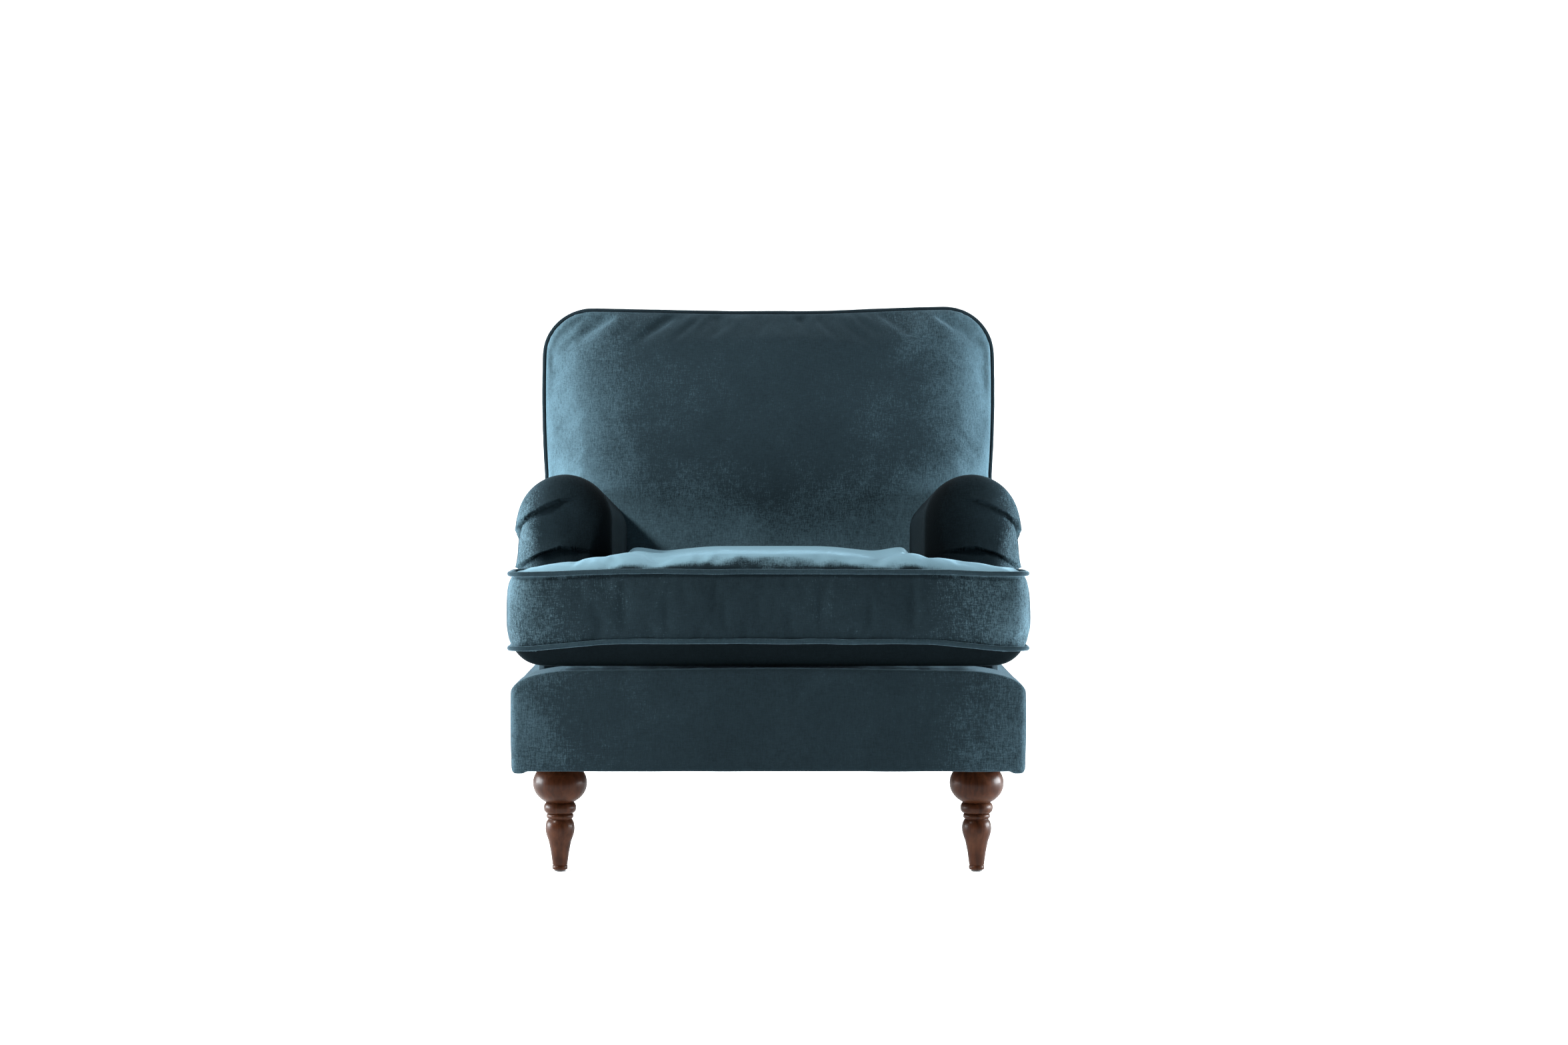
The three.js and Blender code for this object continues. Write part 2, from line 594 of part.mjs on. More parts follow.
function addBackUpholstery(back) {
  const rooms = [...armFrameRoom(-1), ...armFrameRoom(1)];
  addPart(back, "back_pad", subtract(backPadBody(), belowLedge(), ...rooms), velvet);

  const front = BACK_PAD_THICKNESS + GAP;
  const rear = BACK_DEPTH - GAP;
  const ring = subtract(drawnAlongY(backShape(), front, rear),
    drawnAlongY(backShape(BACK_BORDER_WALL), front - 1, rear + 1),
    belowLedge(),
    block(-BACK_HALF + BACK_BORDER_WALL, BACK_HALF - BACK_BORDER_WALL, front - 1, rear + 1,
      -BACK_FOOT - 1, 0));
  const side = BACK_HALF - BACK_CORNER_RADIUS;
  const cover = block(-BASE_WIDTH, side, front - 2, rear + 2, -2 * BACK_FOOT, 2 * BACK_TOP);
  const opposite = block(-side, BASE_WIDTH, front - 2, rear + 2, -2 * BACK_FOOT, 2 * BACK_TOP);
  addPart(back, "back_border_right", subtract(ring, cover), velvet);
  addPart(back, "back_border_left", subtract(ring, opposite), velvet);
  addPart(back, "back_border_top", block(-side + GAP, side - GAP, front, rear,
    BACK_TOP - BACK_BORDER_WALL, BACK_TOP), velvet);

  const panel = drawnAlongY(backShape(), BACK_DEPTH, BACK_DEPTH + BACK_PANEL_THICKNESS);
  addPart(back, "back_outer_panel", subtract(panel, belowLedge()), velvet);
}

function addBackPiping(back) {
  const start = (LEDGE + 4 - BACK_DATUM) / Math.cos(BACK_RECLINE);
  const half = BACK_HALF + PIPING_OFFSET;
  const outline = backShape(-PIPING_OFFSET).getPoints(8)
    .filter((point) => point.y > -BACK_FOOT + 1)
    .map((point) => new THREE.Vector3(point.x, PIPING_RADIUS, point.y));
  const points = [new THREE.Vector3(half, PIPING_RADIUS, start), ...outline,
    new THREE.Vector3(-half, PIPING_RADIUS, start)];
  const distinct = points.filter((point, i) => i === 0 || point.distanceTo(points[i - 1]) > 0.5);
  addPart(back, "back_piping", openTube(distinct, PIPING_RADIUS, PIPING_SIDES), pipingCloth);
}

// ---- Seat cushion ------------------------------------------------------------------------
// The T-shaped plan: ears in front of the arms, body between them.
function cushionShape(offset = 0) {
  const ear = CUSHION_EAR_HALF + offset;
  const body = CUSHION_BODY_HALF + offset;
  const front = CUSHION_FRONT - offset;
  const notch = CUSHION_EAR_BACK + offset;
  const rear = CUSHION_BACK + offset;
  const r = CUSHION_CORNER + offset;
  const n = CUSHION_NOTCH_CORNER - offset;
  const quarter = Math.PI / 2;
  const shape = new THREE.Shape();
  shape.absarc(-ear + r, front + r, r, 2 * quarter, 3 * quarter);
  shape.absarc(ear - r, front + r, r, 3 * quarter, 4 * quarter);
  shape.absarc(ear - r, notch - r, r, 0, quarter);
  shape.absarc(body + n, notch + n, n, 3 * quarter, 2 * quarter, true);
  shape.absarc(body - r, rear - r, r, 0, quarter);
  shape.absarc(-body + r, rear - r, r, quarter, 2 * quarter);
  shape.absarc(-body - n, notch + n, n, 4 * quarter, 3 * quarter, true);
  shape.absarc(-ear + r, notch - r, r, quarter, 2 * quarter);
  shape.closePath();
  return shape;
}

function addCushion(group) {
  const top = CUSHION_BOTTOM + CUSHION_HEIGHT;
  const body = drawnUp(cushionShape(), CUSHION_BOTTOM, top, CUSHION_SOFT_EDGE, CUSHION_CROWN);
  addPart(group, "seat_cushion", body, velvet);
  const outline = cushionShape(PIPING_OFFSET).getPoints(3);
  const distinct = outline.filter((p, i) => p.distanceTo(outline[(i + 1) % outline.length]) > 0.5);
  const seams = [
    ["cushion_piping_top", top - CUSHION_TOP_SEAM],
    ["cushion_piping_bottom", CUSHION_BOTTOM + CUSHION_BOTTOM_SEAM],
  ];
  for (const [name, z] of seams) {
    const points = distinct.map((p) => new THREE.Vector3(p.x, p.y, z));
    addPart(group, name, ringTube(points, PIPING_RADIUS, PIPING_SIDES), pipingCloth);
  }
}

function addZip(group) {
  const z = CUSHION_BOTTOM + (CUSHION_BOTTOM_SEAM + CUSHION_HEIGHT - CUSHION_TOP_SEAM) / 2;
  const tapeY = CUSHION_BACK + GAP;
  const coilY = tapeY + ZIP_TAPE_THICKNESS;
  const half = ZIP_LENGTH / 2;
  const tape = block(-half, half, tapeY, coilY, z - ZIP_TAPE_HEIGHT / 2, z + ZIP_TAPE_HEIGHT / 2);
  const coil = block(-half + 6, half - 6, coilY - 0.5, coilY + ZIP_COIL_DEPTH,
    z - ZIP_COIL / 2, z + ZIP_COIL / 2);
  addPart(group, "zip_tape", join(tape, coil), darkPlastic);

  const x = -ZIP_TRAVEL / 2;
  const sliderY = coilY + ZIP_COIL_DEPTH + GAP;
  const plateBack = sliderY + ZIP_SLIDER.depth;
  const plate = block(x - ZIP_SLIDER.width / 2, x + ZIP_SLIDER.width / 2, sliderY, plateBack,
    z - ZIP_SLIDER.height / 2, z + ZIP_SLIDER.height / 2);
  const bridgeBack = plateBack + ZIP_PULL.eye + ZIP_BRIDGE;
  const bridgeHalf = ZIP_PULL.eye / 2 + ZIP_BRIDGE;
  const bridge = subtract(
    block(x - 1, x + 1, plateBack - 0.5, bridgeBack, z - bridgeHalf, z + bridgeHalf),
    block(x - 2, x + 2, plateBack, plateBack + ZIP_PULL.eye, z - ZIP_PULL.eye / 2,
      z + ZIP_PULL.eye / 2));
  addPart(group, "zip_slider", join(plate, bridge), nickel);

  const pinY = plateBack + ZIP_PULL.eye / 2;
  const pullHalf = ZIP_PULL.thickness / 2;
  const windowHalf = 1 + GAP * 2;
  const pull = subtract(
    block(x - ZIP_PULL.width / 2, x + ZIP_PULL.width / 2, pinY - pullHalf, pinY + pullHalf,
      z - ZIP_PULL.length, z + pullHalf),
    block(x - windowHalf, x + windowHalf, pinY - 2, pinY + 2,
      z - pullHalf - ZIP_PULL.eye, z - pullHalf));
  addPart(group, "zip_pull", pull, nickel);
}

// ---- Legs --------------------------------------------------------------------------------
function ringProfile(ring, steps) {
  const points = [];
  for (let i = 0; i <= steps; i += 1) {
    const angle = Math.PI * (i / steps - 0.5);
    const radius = ring.neck + (ring.radius - ring.neck) * Math.cos(angle);
    points.push([radius, ring.rise + ring.height * Math.sin(angle)]);
  }
  return points;
}

function bulbProfile(steps) {
  const start = Math.asin((UPPER_RING.rise + UPPER_RING.height - BULB.rise) / BULB.height);
  const end = Math.asin((LEG_TOP - BULB.rise) / BULB.height);
  const points = [];
  for (let i = 0; i <= steps; i += 1) {
    const angle = start + ((end - start) * i) / steps;
    points.push([BULB.radius * Math.cos(angle), BULB.rise + BULB.height * Math.sin(angle)]);
  }
  return points;
}

function turnedLeg() {
  const base = GLIDE.height + GAP;
  const bore = BOLT_RADIUS + GAP;
  const vase = new THREE.SplineCurve([...VASE].reverse().map((p) => new THREE.Vector2(...p)));
  const profile = [
    [0, base], [FOOT.radius - 1.4, base], [FOOT.radius, base + 1.4], [FOOT.radius, FOOT.height],
    [FOOT.groove, FOOT.height + 0.7],
    ...vase.getPoints(9).map((p) => [p.x, p.y]),
    ...ringProfile(LOWER_RING, 4), ...ringProfile(UPPER_RING, 6), ...bulbProfile(9),
    [bore, LEG_TOP], [bore, LEG_TOP - BOLT_IN_LEG], [0, LEG_TOP - BOLT_IN_LEG],
  ];
  const outline = profile.map(([radius, height]) => new THREE.Vector2(radius, height));
  return new THREE.LatheGeometry(outline, LATHE_SEGMENTS).rotateX(Math.PI / 2);
}

// A square leg that narrows, splays a little outwards and rakes backwards to its foot.
function rearLeg(side) {
  const base = GLIDE.height + GAP;
  const geometry = new THREE.BoxGeometry(1, 1, 1);
  const place = geometry.attributes.position;
  for (let i = 0; i < place.count; i += 1) {
    const low = place.getZ(i) < 0;
    const width = low ? REAR_LEG.foot : REAR_LEG.top;
    const x = place.getX(i) * width + (low ? side * REAR_LEG.splay : 0);
    const y = place.getY(i) * width + (low ? REAR_LEG.rake : 0);
    place.setXYZ(i, x, y, low ? base : LEG_TOP);
  }
  const bore = new THREE.CylinderGeometry(BOLT_RADIUS + GAP, BOLT_RADIUS + GAP, 2 * BOLT_IN_LEG, 16);
  return subtract(geometry, bore.rotateX(Math.PI / 2).translate(0, 0, LEG_TOP));
}

function addLegSet(group, name, x, y, leg, footX, footY) {
  const mesh = addPart(group, `${name}_leg`, leg, walnut);
  mesh.position.set(x, y, 0);
  const low = LEG_TOP - BOLT_IN_LEG + GAP;
  const bolt = new THREE.CylinderGeometry(BOLT_RADIUS, BOLT_RADIUS, BOLT_TOP - low, 12);
  bolt.rotateX(Math.PI / 2).translate(x, y, (BOLT_TOP + low) / 2);
  addPart(group, `${name}_leg_bolt`, bolt, nickel);
  const glide = new THREE.CylinderGeometry(GLIDE.radius, GLIDE.radius, GLIDE.height, 20);
  glide.rotateX(Math.PI / 2).translate(footX, footY, GLIDE.height / 2);
  addPart(group, `${name}_glide`, glide, darkPlastic);
}

function addLegs(group) {
  for (const [name, side] of [["left", -1], ["right", 1]]) {
    const frontX = side * FRONT_LEG_X;
    addLegSet(group, `front_${name}`, frontX, FRONT_LEG.setback, turnedLeg(), frontX,
      FRONT_LEG.setback);
    const rearX = side * REAR_LEG_X;
    addLegSet(group, `rear_${name}`, rearX, REAR_LEG_Y, rearLeg(side),
      rearX + side * REAR_LEG.splay, REAR_LEG_Y + REAR_LEG.rake);
  }
}

// ---- Assembly ----------------------------------------------------------------------------
const chair = new THREE.Group();
const body = new THREE.Group();
const back = new THREE.Group();
back.position.set(0, BACK_FACE_DEPTH, BACK_DATUM);
back.rotation.x = -BACK_RECLINE;
body.add(back);
chair.add(body);

addSeatRails(body);
addCornerBlocks(body);
addBackFrame(back);
addSprings(body);
addBackWebs(back);
addFrontBorder(body);
addSideBorders(body);
addRearBorder(body);
addSeatDeck(body);
addDustCover(body);
addBackUpholstery(back);
addBackPiping(back);

const padSpace = inChairAxes(backPadBody().translate(0, -1, 0));
const rearSpace = inChairAxes(block(-BASE_WIDTH, BASE_WIDTH, -1, 400, -600, 600));
for (const [name, side] of [["left", -1], ["right", 1]]) {
  addArmFrame(body, name, side);
  addArm(body, name, side, [padSpace, rearSpace]);
}
addCushion(body);
addZip(body);
addLegs(body);

// The origin is on the floor under the middle of the chair.
chair.updateMatrixWorld(true);
const bounds = new THREE.Box3().setFromObject(chair, true);
body.position.y = -(bounds.min.y + bounds.max.y) / 2;

export default chair;
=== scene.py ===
import json
import math

import bmesh
import bpy
import numpy as np
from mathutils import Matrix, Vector, noise


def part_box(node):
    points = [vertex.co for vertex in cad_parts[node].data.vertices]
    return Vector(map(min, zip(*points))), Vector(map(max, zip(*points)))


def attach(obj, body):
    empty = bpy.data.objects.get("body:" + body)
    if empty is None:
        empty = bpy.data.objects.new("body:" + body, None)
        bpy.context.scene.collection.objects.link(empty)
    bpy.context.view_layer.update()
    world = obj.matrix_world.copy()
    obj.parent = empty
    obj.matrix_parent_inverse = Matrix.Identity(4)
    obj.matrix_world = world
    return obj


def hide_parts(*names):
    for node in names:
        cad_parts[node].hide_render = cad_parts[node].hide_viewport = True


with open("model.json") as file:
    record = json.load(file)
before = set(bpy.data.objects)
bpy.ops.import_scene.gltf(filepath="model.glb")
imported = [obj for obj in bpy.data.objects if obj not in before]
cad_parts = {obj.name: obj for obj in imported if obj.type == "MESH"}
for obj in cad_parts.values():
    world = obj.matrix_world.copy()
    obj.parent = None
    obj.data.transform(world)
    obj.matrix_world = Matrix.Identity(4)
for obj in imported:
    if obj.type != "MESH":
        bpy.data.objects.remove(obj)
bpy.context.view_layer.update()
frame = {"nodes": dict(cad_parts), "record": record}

# ---- Sizes that the frame doesn't give (metres, radians) ---------------------------------
RECLINE = math.radians(12.1)     # lean of the back
BACK_CORNER = 0.078              # radius of the back's top corners
PIPING_RADIUS = 0.004
CLOTH_CELL = 0.006               # voxel size of the cloth meshes
CLOTH_FRAMES = 20

# ---- Camera: level, in front of the chair, on its centre line ----------------------------
CAMERA_DISTANCE = 4.4            # from the front of the base
CAMERA_HEIGHT = 0.70
CAMERA_LENS = 65.05
CAMERA_SHIFT = (0.01, -0.0612)


def add_camera():
    data = bpy.data.cameras.new("camera")
    data.lens = CAMERA_LENS
    data.sensor_width = 36
    data.shift_x, data.shift_y = CAMERA_SHIFT
    camera = bpy.data.objects.new("camera", data)
    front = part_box("front_border")[0][1]
    camera.location = (0, front - CAMERA_DISTANCE, CAMERA_HEIGHT)
    camera.rotation_euler = (math.radians(90), 0, 0)
    bpy.context.scene.collection.objects.link(camera)
    bpy.context.scene.camera = camera


add_camera()


# ---- Small helpers -----------------------------------------------------------------------
def smoothstep(low, high, value):
    t = min(max((value - low) / (high - low), 0.0), 1.0)
    return t * t * (3 - 2 * t)


def wander(point, scale, seed=0.0):
    """Smooth noise from -1 to 1, the same on each run."""
    return noise.noise(Vector((point[0] * scale + seed, point[1] * scale, point[2] * scale)))


def membrane(inside, low, high, cell):
    """Heights from 0 to 1 of a skin blown up over the area where inside(x, y) is true, as a
    function of x and y."""
    xs = np.arange(low[0] - cell, high[0] + 2 * cell, cell)
    ys = np.arange(low[1] - cell, high[1] + 2 * cell, cell)
    mask = np.array([[inside(x, y) > 0 for x in xs] for y in ys])
    height = np.zeros(mask.shape)
    for _ in range(4000):
        around = height[:-2, 1:-1] + height[2:, 1:-1] + height[1:-1, :-2] + height[1:-1, 2:]
        height[1:-1, 1:-1] = np.where(mask[1:-1, 1:-1], around / 4 + 1.0, 0.0)
    height /= height.max()

    def sample(x, y):
        u = min(max((x - xs[0]) / cell, 0), len(xs) - 2.001)
        v = min(max((y - ys[0]) / cell, 0), len(ys) - 2.001)
        i, j = int(u), int(v)
        a, b = u - i, v - j
        return float((height[j, i] * (1 - a) + height[j, i + 1] * a) * (1 - b)
                     + (height[j + 1, i] * (1 - a) + height[j + 1, i + 1] * a) * b)
    return sample


def fullness(height, firmness):
    """A membrane's height flattened in the middle, as stuffing does."""
    return (1 - math.exp(-firmness * height)) / (1 - math.exp(-firmness))


def new_object(name, mesh, material):
    obj = bpy.data.objects.new(name, mesh)
    bpy.context.scene.collection.objects.link(obj)
    mesh.materials.clear()
    mesh.materials.append(material)
    for face in mesh.polygons:
        face.use_smooth = True
    return obj


def mesh_from(name, vertices, faces):
    mesh = bpy.data.meshes.new(name)
    mesh.from_pydata([tuple(v) for v in vertices], [], faces)
    bm = bmesh.new()
    bm.from_mesh(mesh)
    bmesh.ops.recalc_face_normals(bm, faces=bm.faces)
    bm.to_mesh(mesh)
    bm.free()
    mesh.update()
    return mesh


def grid_faces(rows, columns, closed_rows=False, closed_columns=False):
    """Quads over a grid of points that is numbered row by row."""
    faces = []
    for i in range(rows if closed_rows else rows - 1):
        for j in range(columns if closed_columns else columns - 1):
            a, b = i * columns + j, i * columns + (j + 1) % columns
            c, d = ((i + 1) % rows) * columns + (j + 1) % columns, ((i + 1) % rows) * columns + j
            faces.append((a, b, c, d))
    return faces


def rim_faces(rows, columns):
    """Quads round the rim, between a grid of points and the same grid numbered after it."""
    size = rows * columns
    rim = list(range(columns))
    rim += [j * columns + columns - 1 for j in range(1, rows)]
    rim += [(rows - 1) * columns + i for i in range(columns - 2, -1, -1)]
    rim += [j * columns for j in range(rows - 2, 0, -1)]
    return [(a, b, size + b, size + a) for a, b in zip(rim, rim[1:] + rim[:1])]


def apply_modifiers(obj):
    graph = bpy.context.evaluated_depsgraph_get()
    mesh = bpy.data.meshes.new_from_object(obj.evaluated_get(graph), depsgraph=graph)
    obj.modifiers.clear()
    obj.data = mesh
    for face in mesh.polygons:
        face.use_smooth = True


def remesh(obj, voxel):
    modifier = obj.modifiers.new("remesh", "REMESH")
    modifier.mode = "VOXEL"
    modifier.voxel_size = voxel
    modifier.use_smooth_shade = True
    apply_modifiers(obj)


def smooth(obj, factor, times):
    modifier = obj.modifiers.new("smooth", "SMOOTH")
    modifier.factor = factor
    modifier.iterations = times
    apply_modifiers(obj)


def subdivide(obj):
    modifier = obj.modifiers.new("subdivision", "SUBSURF")
    modifier.levels = 1
    modifier.render_levels = 1
    apply_modifiers(obj)


def finish_piece(obj, body, slot, *nodes):
    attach(obj, body)
    if nodes:
        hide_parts(*nodes)


# ---- Materials ---------------------------------------------------------------------------
class Nodes:
    """A material's node tree, with short calls for the nodes used here."""

    def __init__(self, name):
        self.material = bpy.data.materials.new(name)
        self.material.use_nodes = True
        self.tree = self.material.node_tree
        self.shader = self.tree.nodes["Principled BSDF"]

    def add(self, kind, inputs=None, **settings):
        node = self.tree.nodes.new(kind)
        for key, value in settings.items():
            setattr(node, key, value)
        for key, value in (inputs or {}).items():
            self.put(node.inputs[key], value)
        return node

    def put(self, socket, value):
        if isinstance(value, bpy.types.NodeSocket):
            self.tree.links.new(value, socket)
        else:
            socket.default_value = value

    def math(self, operation, a, b=0.0):
        node = self.add("ShaderNodeMath", operation=operation)
        self.put(node.inputs[0], a)
        self.put(node.inputs[1], b)
        return node.outputs[0]

    def scaled(self, vector, scale):
        node = self.add("ShaderNodeVectorMath", operation="MULTIPLY")
        self.put(node.inputs[0], vector)
        node.inputs[1].default_value = scale
        return node.outputs[0]

    def noise(self, vector, scale, detail, roughness, distortion=0.0):
        node = self.add("ShaderNodeTexNoise", {
            "Vector": vector, "Scale": scale, "Detail": detail,
            "Roughness": roughness, "Distortion": distortion})
        return node.outputs["Fac"]

    def ramp(self, value, low, high, to_low=0.0, to_high=1.0):
        node = self.add("ShaderNodeMapRange", {
            "Value": value, "From Min": low, "From Max": high, "To Min": to_low, "To Max": to_high})
        return node.outputs["Result"]

    def mix(self, share, first, second):
        node = self.add("ShaderNodeMix", data_type="RGBA")
        self.put(node.inputs[0], share)
        self.put(node.inputs[6], first)
        self.put(node.inputs[7], second)
        return node.outputs[2]

    def mix_value(self, share, first, second):
        node = self.add("ShaderNodeMix", data_type="FLOAT")
        self.put(node.inputs[0], share)
        self.put(node.inputs[2], first)
        self.put(node.inputs[3], second)
        return node.outputs[0]

    def bump(self, height, strength, distance, normal=None):
        inputs = {"Height": height, "Strength": strength, "Distance": distance}
        if normal is not None:
            inputs["Normal"] = normal
        return self.add("ShaderNodeBump", inputs).outputs["Normal"]

    def set(self, **values):
        for key, value in values.items():
            self.put(self.shader.inputs[key.replace("_", " ")], value)


def rgb(red, green, blue):
    return (red, green, blue, 1.0)


def threads(n, place, pitch, axis, wobble):
    """Rounded threads of the given pitch, side by side along an axis."""
    wave = n.add("ShaderNodeTexWave", {
        "Vector": place, "Scale": math.pi / 10 / pitch * 2, "Distortion": wobble,
        "Detail": 1.0, "Detail Scale": 2.0}, wave_type="BANDS", bands_direction=axis)
    return wave.outputs["Fac"]


def brushed_weave(name, dark, mid, light, sheen, sides=0.0, seat=0.0, inner=0.0, low=0.0):
    """A brushed woven cloth: fine slubby threads, soft clouds in the pile, and a pale sheen.
    sides lightens the colour towards the outer edges of the chair, a painted highlight, and
    seat lightens it where it faces up, a painted highlight. inner darkens it towards the seat
    and on faces turned to the middle, painted shade, and low lightens the lower back, painted light."""
    n = Nodes(name)
    place = n.add("ShaderNodeTexCoord").outputs["Object"]
    normal = n.add("ShaderNodeNewGeometry").outputs["Normal"]
    across = n.add("ShaderNodeSeparateXYZ", {"Vector": normal}).outputs["X"]
    sideways = n.ramp(n.math("ABSOLUTE", across), 0.55, 0.8)

    warp_front = n.noise(n.scaled(place, (1.0, 0.16, 0.16)), 700, 2, 0.6)
    warp_side = n.noise(n.scaled(place, (0.16, 1.0, 0.16)), 700, 2, 0.6)
    warp = n.mix_value(sideways, warp_front, warp_side)
    weft = n.noise(n.scaled(place, (0.16, 0.7, 1.0)), 620, 2, 0.6)
    specks = n.noise(place, 500, 3, 0.65)
    clouds = n.noise(place, 6.5, 4, 0.6, 0.3)
    patches = n.noise(place, 24, 3, 0.6, 0.5)

    thread = n.math("ADD", n.math("MULTIPLY", n.ramp(warp, 0.3, 0.7), 0.55),
                    n.math("MULTIPLY", n.ramp(weft, 0.3, 0.7), 0.45))
    grain = n.math("ADD", n.math("MULTIPLY", thread, 0.62),
                   n.math("MULTIPLY", n.ramp(specks, 0.25, 0.75), 0.38))
    cloud = n.math("ADD", n.math("MULTIPLY", n.ramp(clouds, 0.25, 0.75), 0.75),
                   n.math("MULTIPLY", n.ramp(patches, 0.25, 0.75), 0.25))
    tone = n.math("ADD", n.math("MULTIPLY", grain, 0.42), n.math("MULTIPLY", cloud, 0.24))
    tone = n.math("ADD", tone, 0.10)
    # Painted highlight: the colour lightens towards the chair's outer edges, less on faces turned fully
    # sideways.
    if sides:
        out = n.add("ShaderNodeSeparateXYZ", {"Vector": place}).outputs["X"]
        edge = n.ramp(n.math("ABSOLUTE", out), 0.04, 0.42)
        edge = n.math("POWER", n.math("MAXIMUM", edge, 0.0), 2.2)
        edge = n.math("MULTIPLY", edge, n.ramp(n.math("ABSOLUTE", across), 0.90, 0.99, 1.0, 0.25))
        tone = n.math("ADD", tone, n.math("MULTIPLY", edge, sides))
    # Painted shade: darker on the arms' inner half near the seat and on faces turned towards the middle.
    if inner:
        out = n.add("ShaderNodeSeparateXYZ", {"Vector": place}).outputs["X"]
        painted_shade_near_seat = n.ramp(n.math("ABSOLUTE", out), 0.290, 0.385, inner, 0.0)
        tone = n.math("SUBTRACT", tone, painted_shade_near_seat)
        painted_shade_facing_in = n.ramp(n.math("MULTIPLY", out, across), -0.20, -0.03, 0.35, 0.0)
        tone = n.math("SUBTRACT", tone, painted_shade_facing_in)
    # Painted light: the colour lightens on the lower part of the back.
    if low:
        level = n.add("ShaderNodeSeparateXYZ", {"Vector": place}).outputs["Z"]
        tone = n.math("ADD", tone, n.ramp(level, 0.48, 0.66, low, 0.0))
    # Painted highlight: the colour lightens where the cloth faces up.
    if seat:
        upward = n.add("ShaderNodeSeparateXYZ", {"Vector": normal}).outputs["Z"]
        tone = n.math("ADD", tone, n.math("MULTIPLY", n.ramp(upward, 0.35, 0.95), seat))
    # The darkest tone, reached mostly where the inner term paints shade.
    black = rgb(*(c * 0.3 for c in dark[:3]))
    colour = n.mix(n.ramp(tone, -0.2, 0.15), black, dark)
    colour = n.mix(n.ramp(tone, 0.15, 0.55), colour, mid)
    colour = n.mix(n.ramp(tone, 0.55, 1.05), colour, light)

    rows = threads(n, place, 0.0012, "X", 0.6)
    rows_side = threads(n, place, 0.0012, "Y", 0.6)
    picks = threads(n, place, 0.0014, "Z", 0.6)
    weave = n.math("MULTIPLY", n.mix_value(sideways, rows, rows_side), picks)
    normal_map = n.bump(weave, 0.25, 0.0003)
    normal_map = n.bump(grain, 0.5, 0.0006, normal_map)
    normal_map = n.bump(cloud, 0.35, 0.002, normal_map)

    n.set(Base_Color=colour, Roughness=n.ramp(tone, 0.0, 1.0, 0.90, 0.74), Normal=normal_map,
          Sheen_Weight=sheen, Sheen_Roughness=0.30, Specular_IOR_Level=0.03)
    n.shader.inputs["Sheen Tint"].default_value = (0.52, 0.82, 1.0, 1.0)
    return n.material


def turned_walnut():
    """Dark stained wood under satin lacquer, its grain running up the leg."""
    n = Nodes("walnut_stain")
    place = n.add("ShaderNodeTexCoord").outputs["Object"]
    along = n.scaled(place, (1.0, 1.0, 0.07))
    figure = n.noise(along, 95, 5, 0.62, 1.2)
    pores = n.noise(n.scaled(place, (1.0, 1.0, 0.03)), 900, 3, 0.6)
    wear = n.noise(place, 30, 3, 0.6)
    colour = n.mix(n.ramp(figure, 0.3, 0.72), rgb(0.012, 0.0036, 0.0014), rgb(0.036, 0.0108, 0.0038))
    colour = n.mix(n.ramp(pores, 0.52, 0.7, 0.0, 0.5), colour, rgb(0.014, 0.006, 0.004))
    colour = n.mix(n.ramp(wear, 0.5, 0.8, 0.0, 0.2), colour, rgb(0.13, 0.055, 0.028))
    bump = n.bump(pores, 0.12, 0.0002)
    n.set(Base_Color=colour, Roughness=n.ramp(wear, 0.3, 0.7, 0.34, 0.46), Normal=bump,
          Coat_Weight=0.07, Coat_Roughness=0.22, Specular_IOR_Level=0.05)
    return n.material


def pale_hardwood():
    """Planed beech for the hidden frame."""
    n = Nodes("planed_beech")
    place = n.add("ShaderNodeTexCoord").outputs["Object"]
    figure = n.noise(n.scaled(place, (0.25, 1.0, 1.0)), 70, 5, 0.6, 0.8)
    flecks = n.noise(n.scaled(place, (0.2, 1.0, 1.0)), 700, 2, 0.6)
    colour = n.mix(n.ramp(figure, 0.3, 0.7), rgb(0.46, 0.28, 0.14), rgb(0.62, 0.42, 0.24))
    colour = n.mix(n.ramp(flecks, 0.58, 0.72, 0.0, 0.5), colour, rgb(0.30, 0.16, 0.08))
    n.set(Base_Color=colour, Roughness=n.ramp(figure, 0.3, 0.7, 0.6, 0.75),
          Normal=n.bump(flecks, 0.3, 0.0003))
    return n.material


def drawn_metal(name, colour, roughness):
    """Drawn or stamped metal with faint scratches and dull patches."""
    n = Nodes(name)
    place = n.add("ShaderNodeTexCoord").outputs["Object"]
    scratch = n.noise(n.scaled(place, (1.0, 0.08, 1.0)), 1800, 2, 0.6)
    dull = n.noise(place, 60, 3, 0.6)
    shade = n.mix(n.ramp(dull, 0.35, 0.7, 0.0, 0.5), colour, rgb(*(c * 0.45 for c in colour[:3])))
    n.set(Base_Color=shade, Metallic=1.0, Normal=n.bump(scratch, 0.2, 0.0001),
          Roughness=n.ramp(dull, 0.3, 0.7, roughness, roughness + 0.2))
    return n.material


def plain_weave(name, first, second, pitch):
    """A plain over-and-under weave in two tones, for webbing, lining and zip tape."""
    n = Nodes(name)
    place = n.add("ShaderNodeTexCoord").outputs["Object"]
    warp = threads(n, place, pitch, "X", 0.4)
    weft = threads(n, place, pitch, "Z", 0.4)
    depth = threads(n, place, pitch, "Y", 0.4)
    weave = n.math("MULTIPLY", warp, n.math("MAXIMUM", weft, depth))
    fuzz = n.noise(place, 300, 3, 0.6)
    dust = n.noise(place, 12, 3, 0.6)
    colour = n.mix(n.math("ADD", n.math("MULTIPLY", weave, 0.6), n.math("MULTIPLY", fuzz, 0.4)),
                   first, second)
    colour = n.mix(n.ramp(dust, 0.5, 0.8, 0.0, 0.2), colour, rgb(0.2, 0.2, 0.19))
    bump = n.bump(weave, 0.5, pitch * 0.3)
    n.set(Base_Color=colour, Roughness=0.9, Normal=bump)
    return n.material


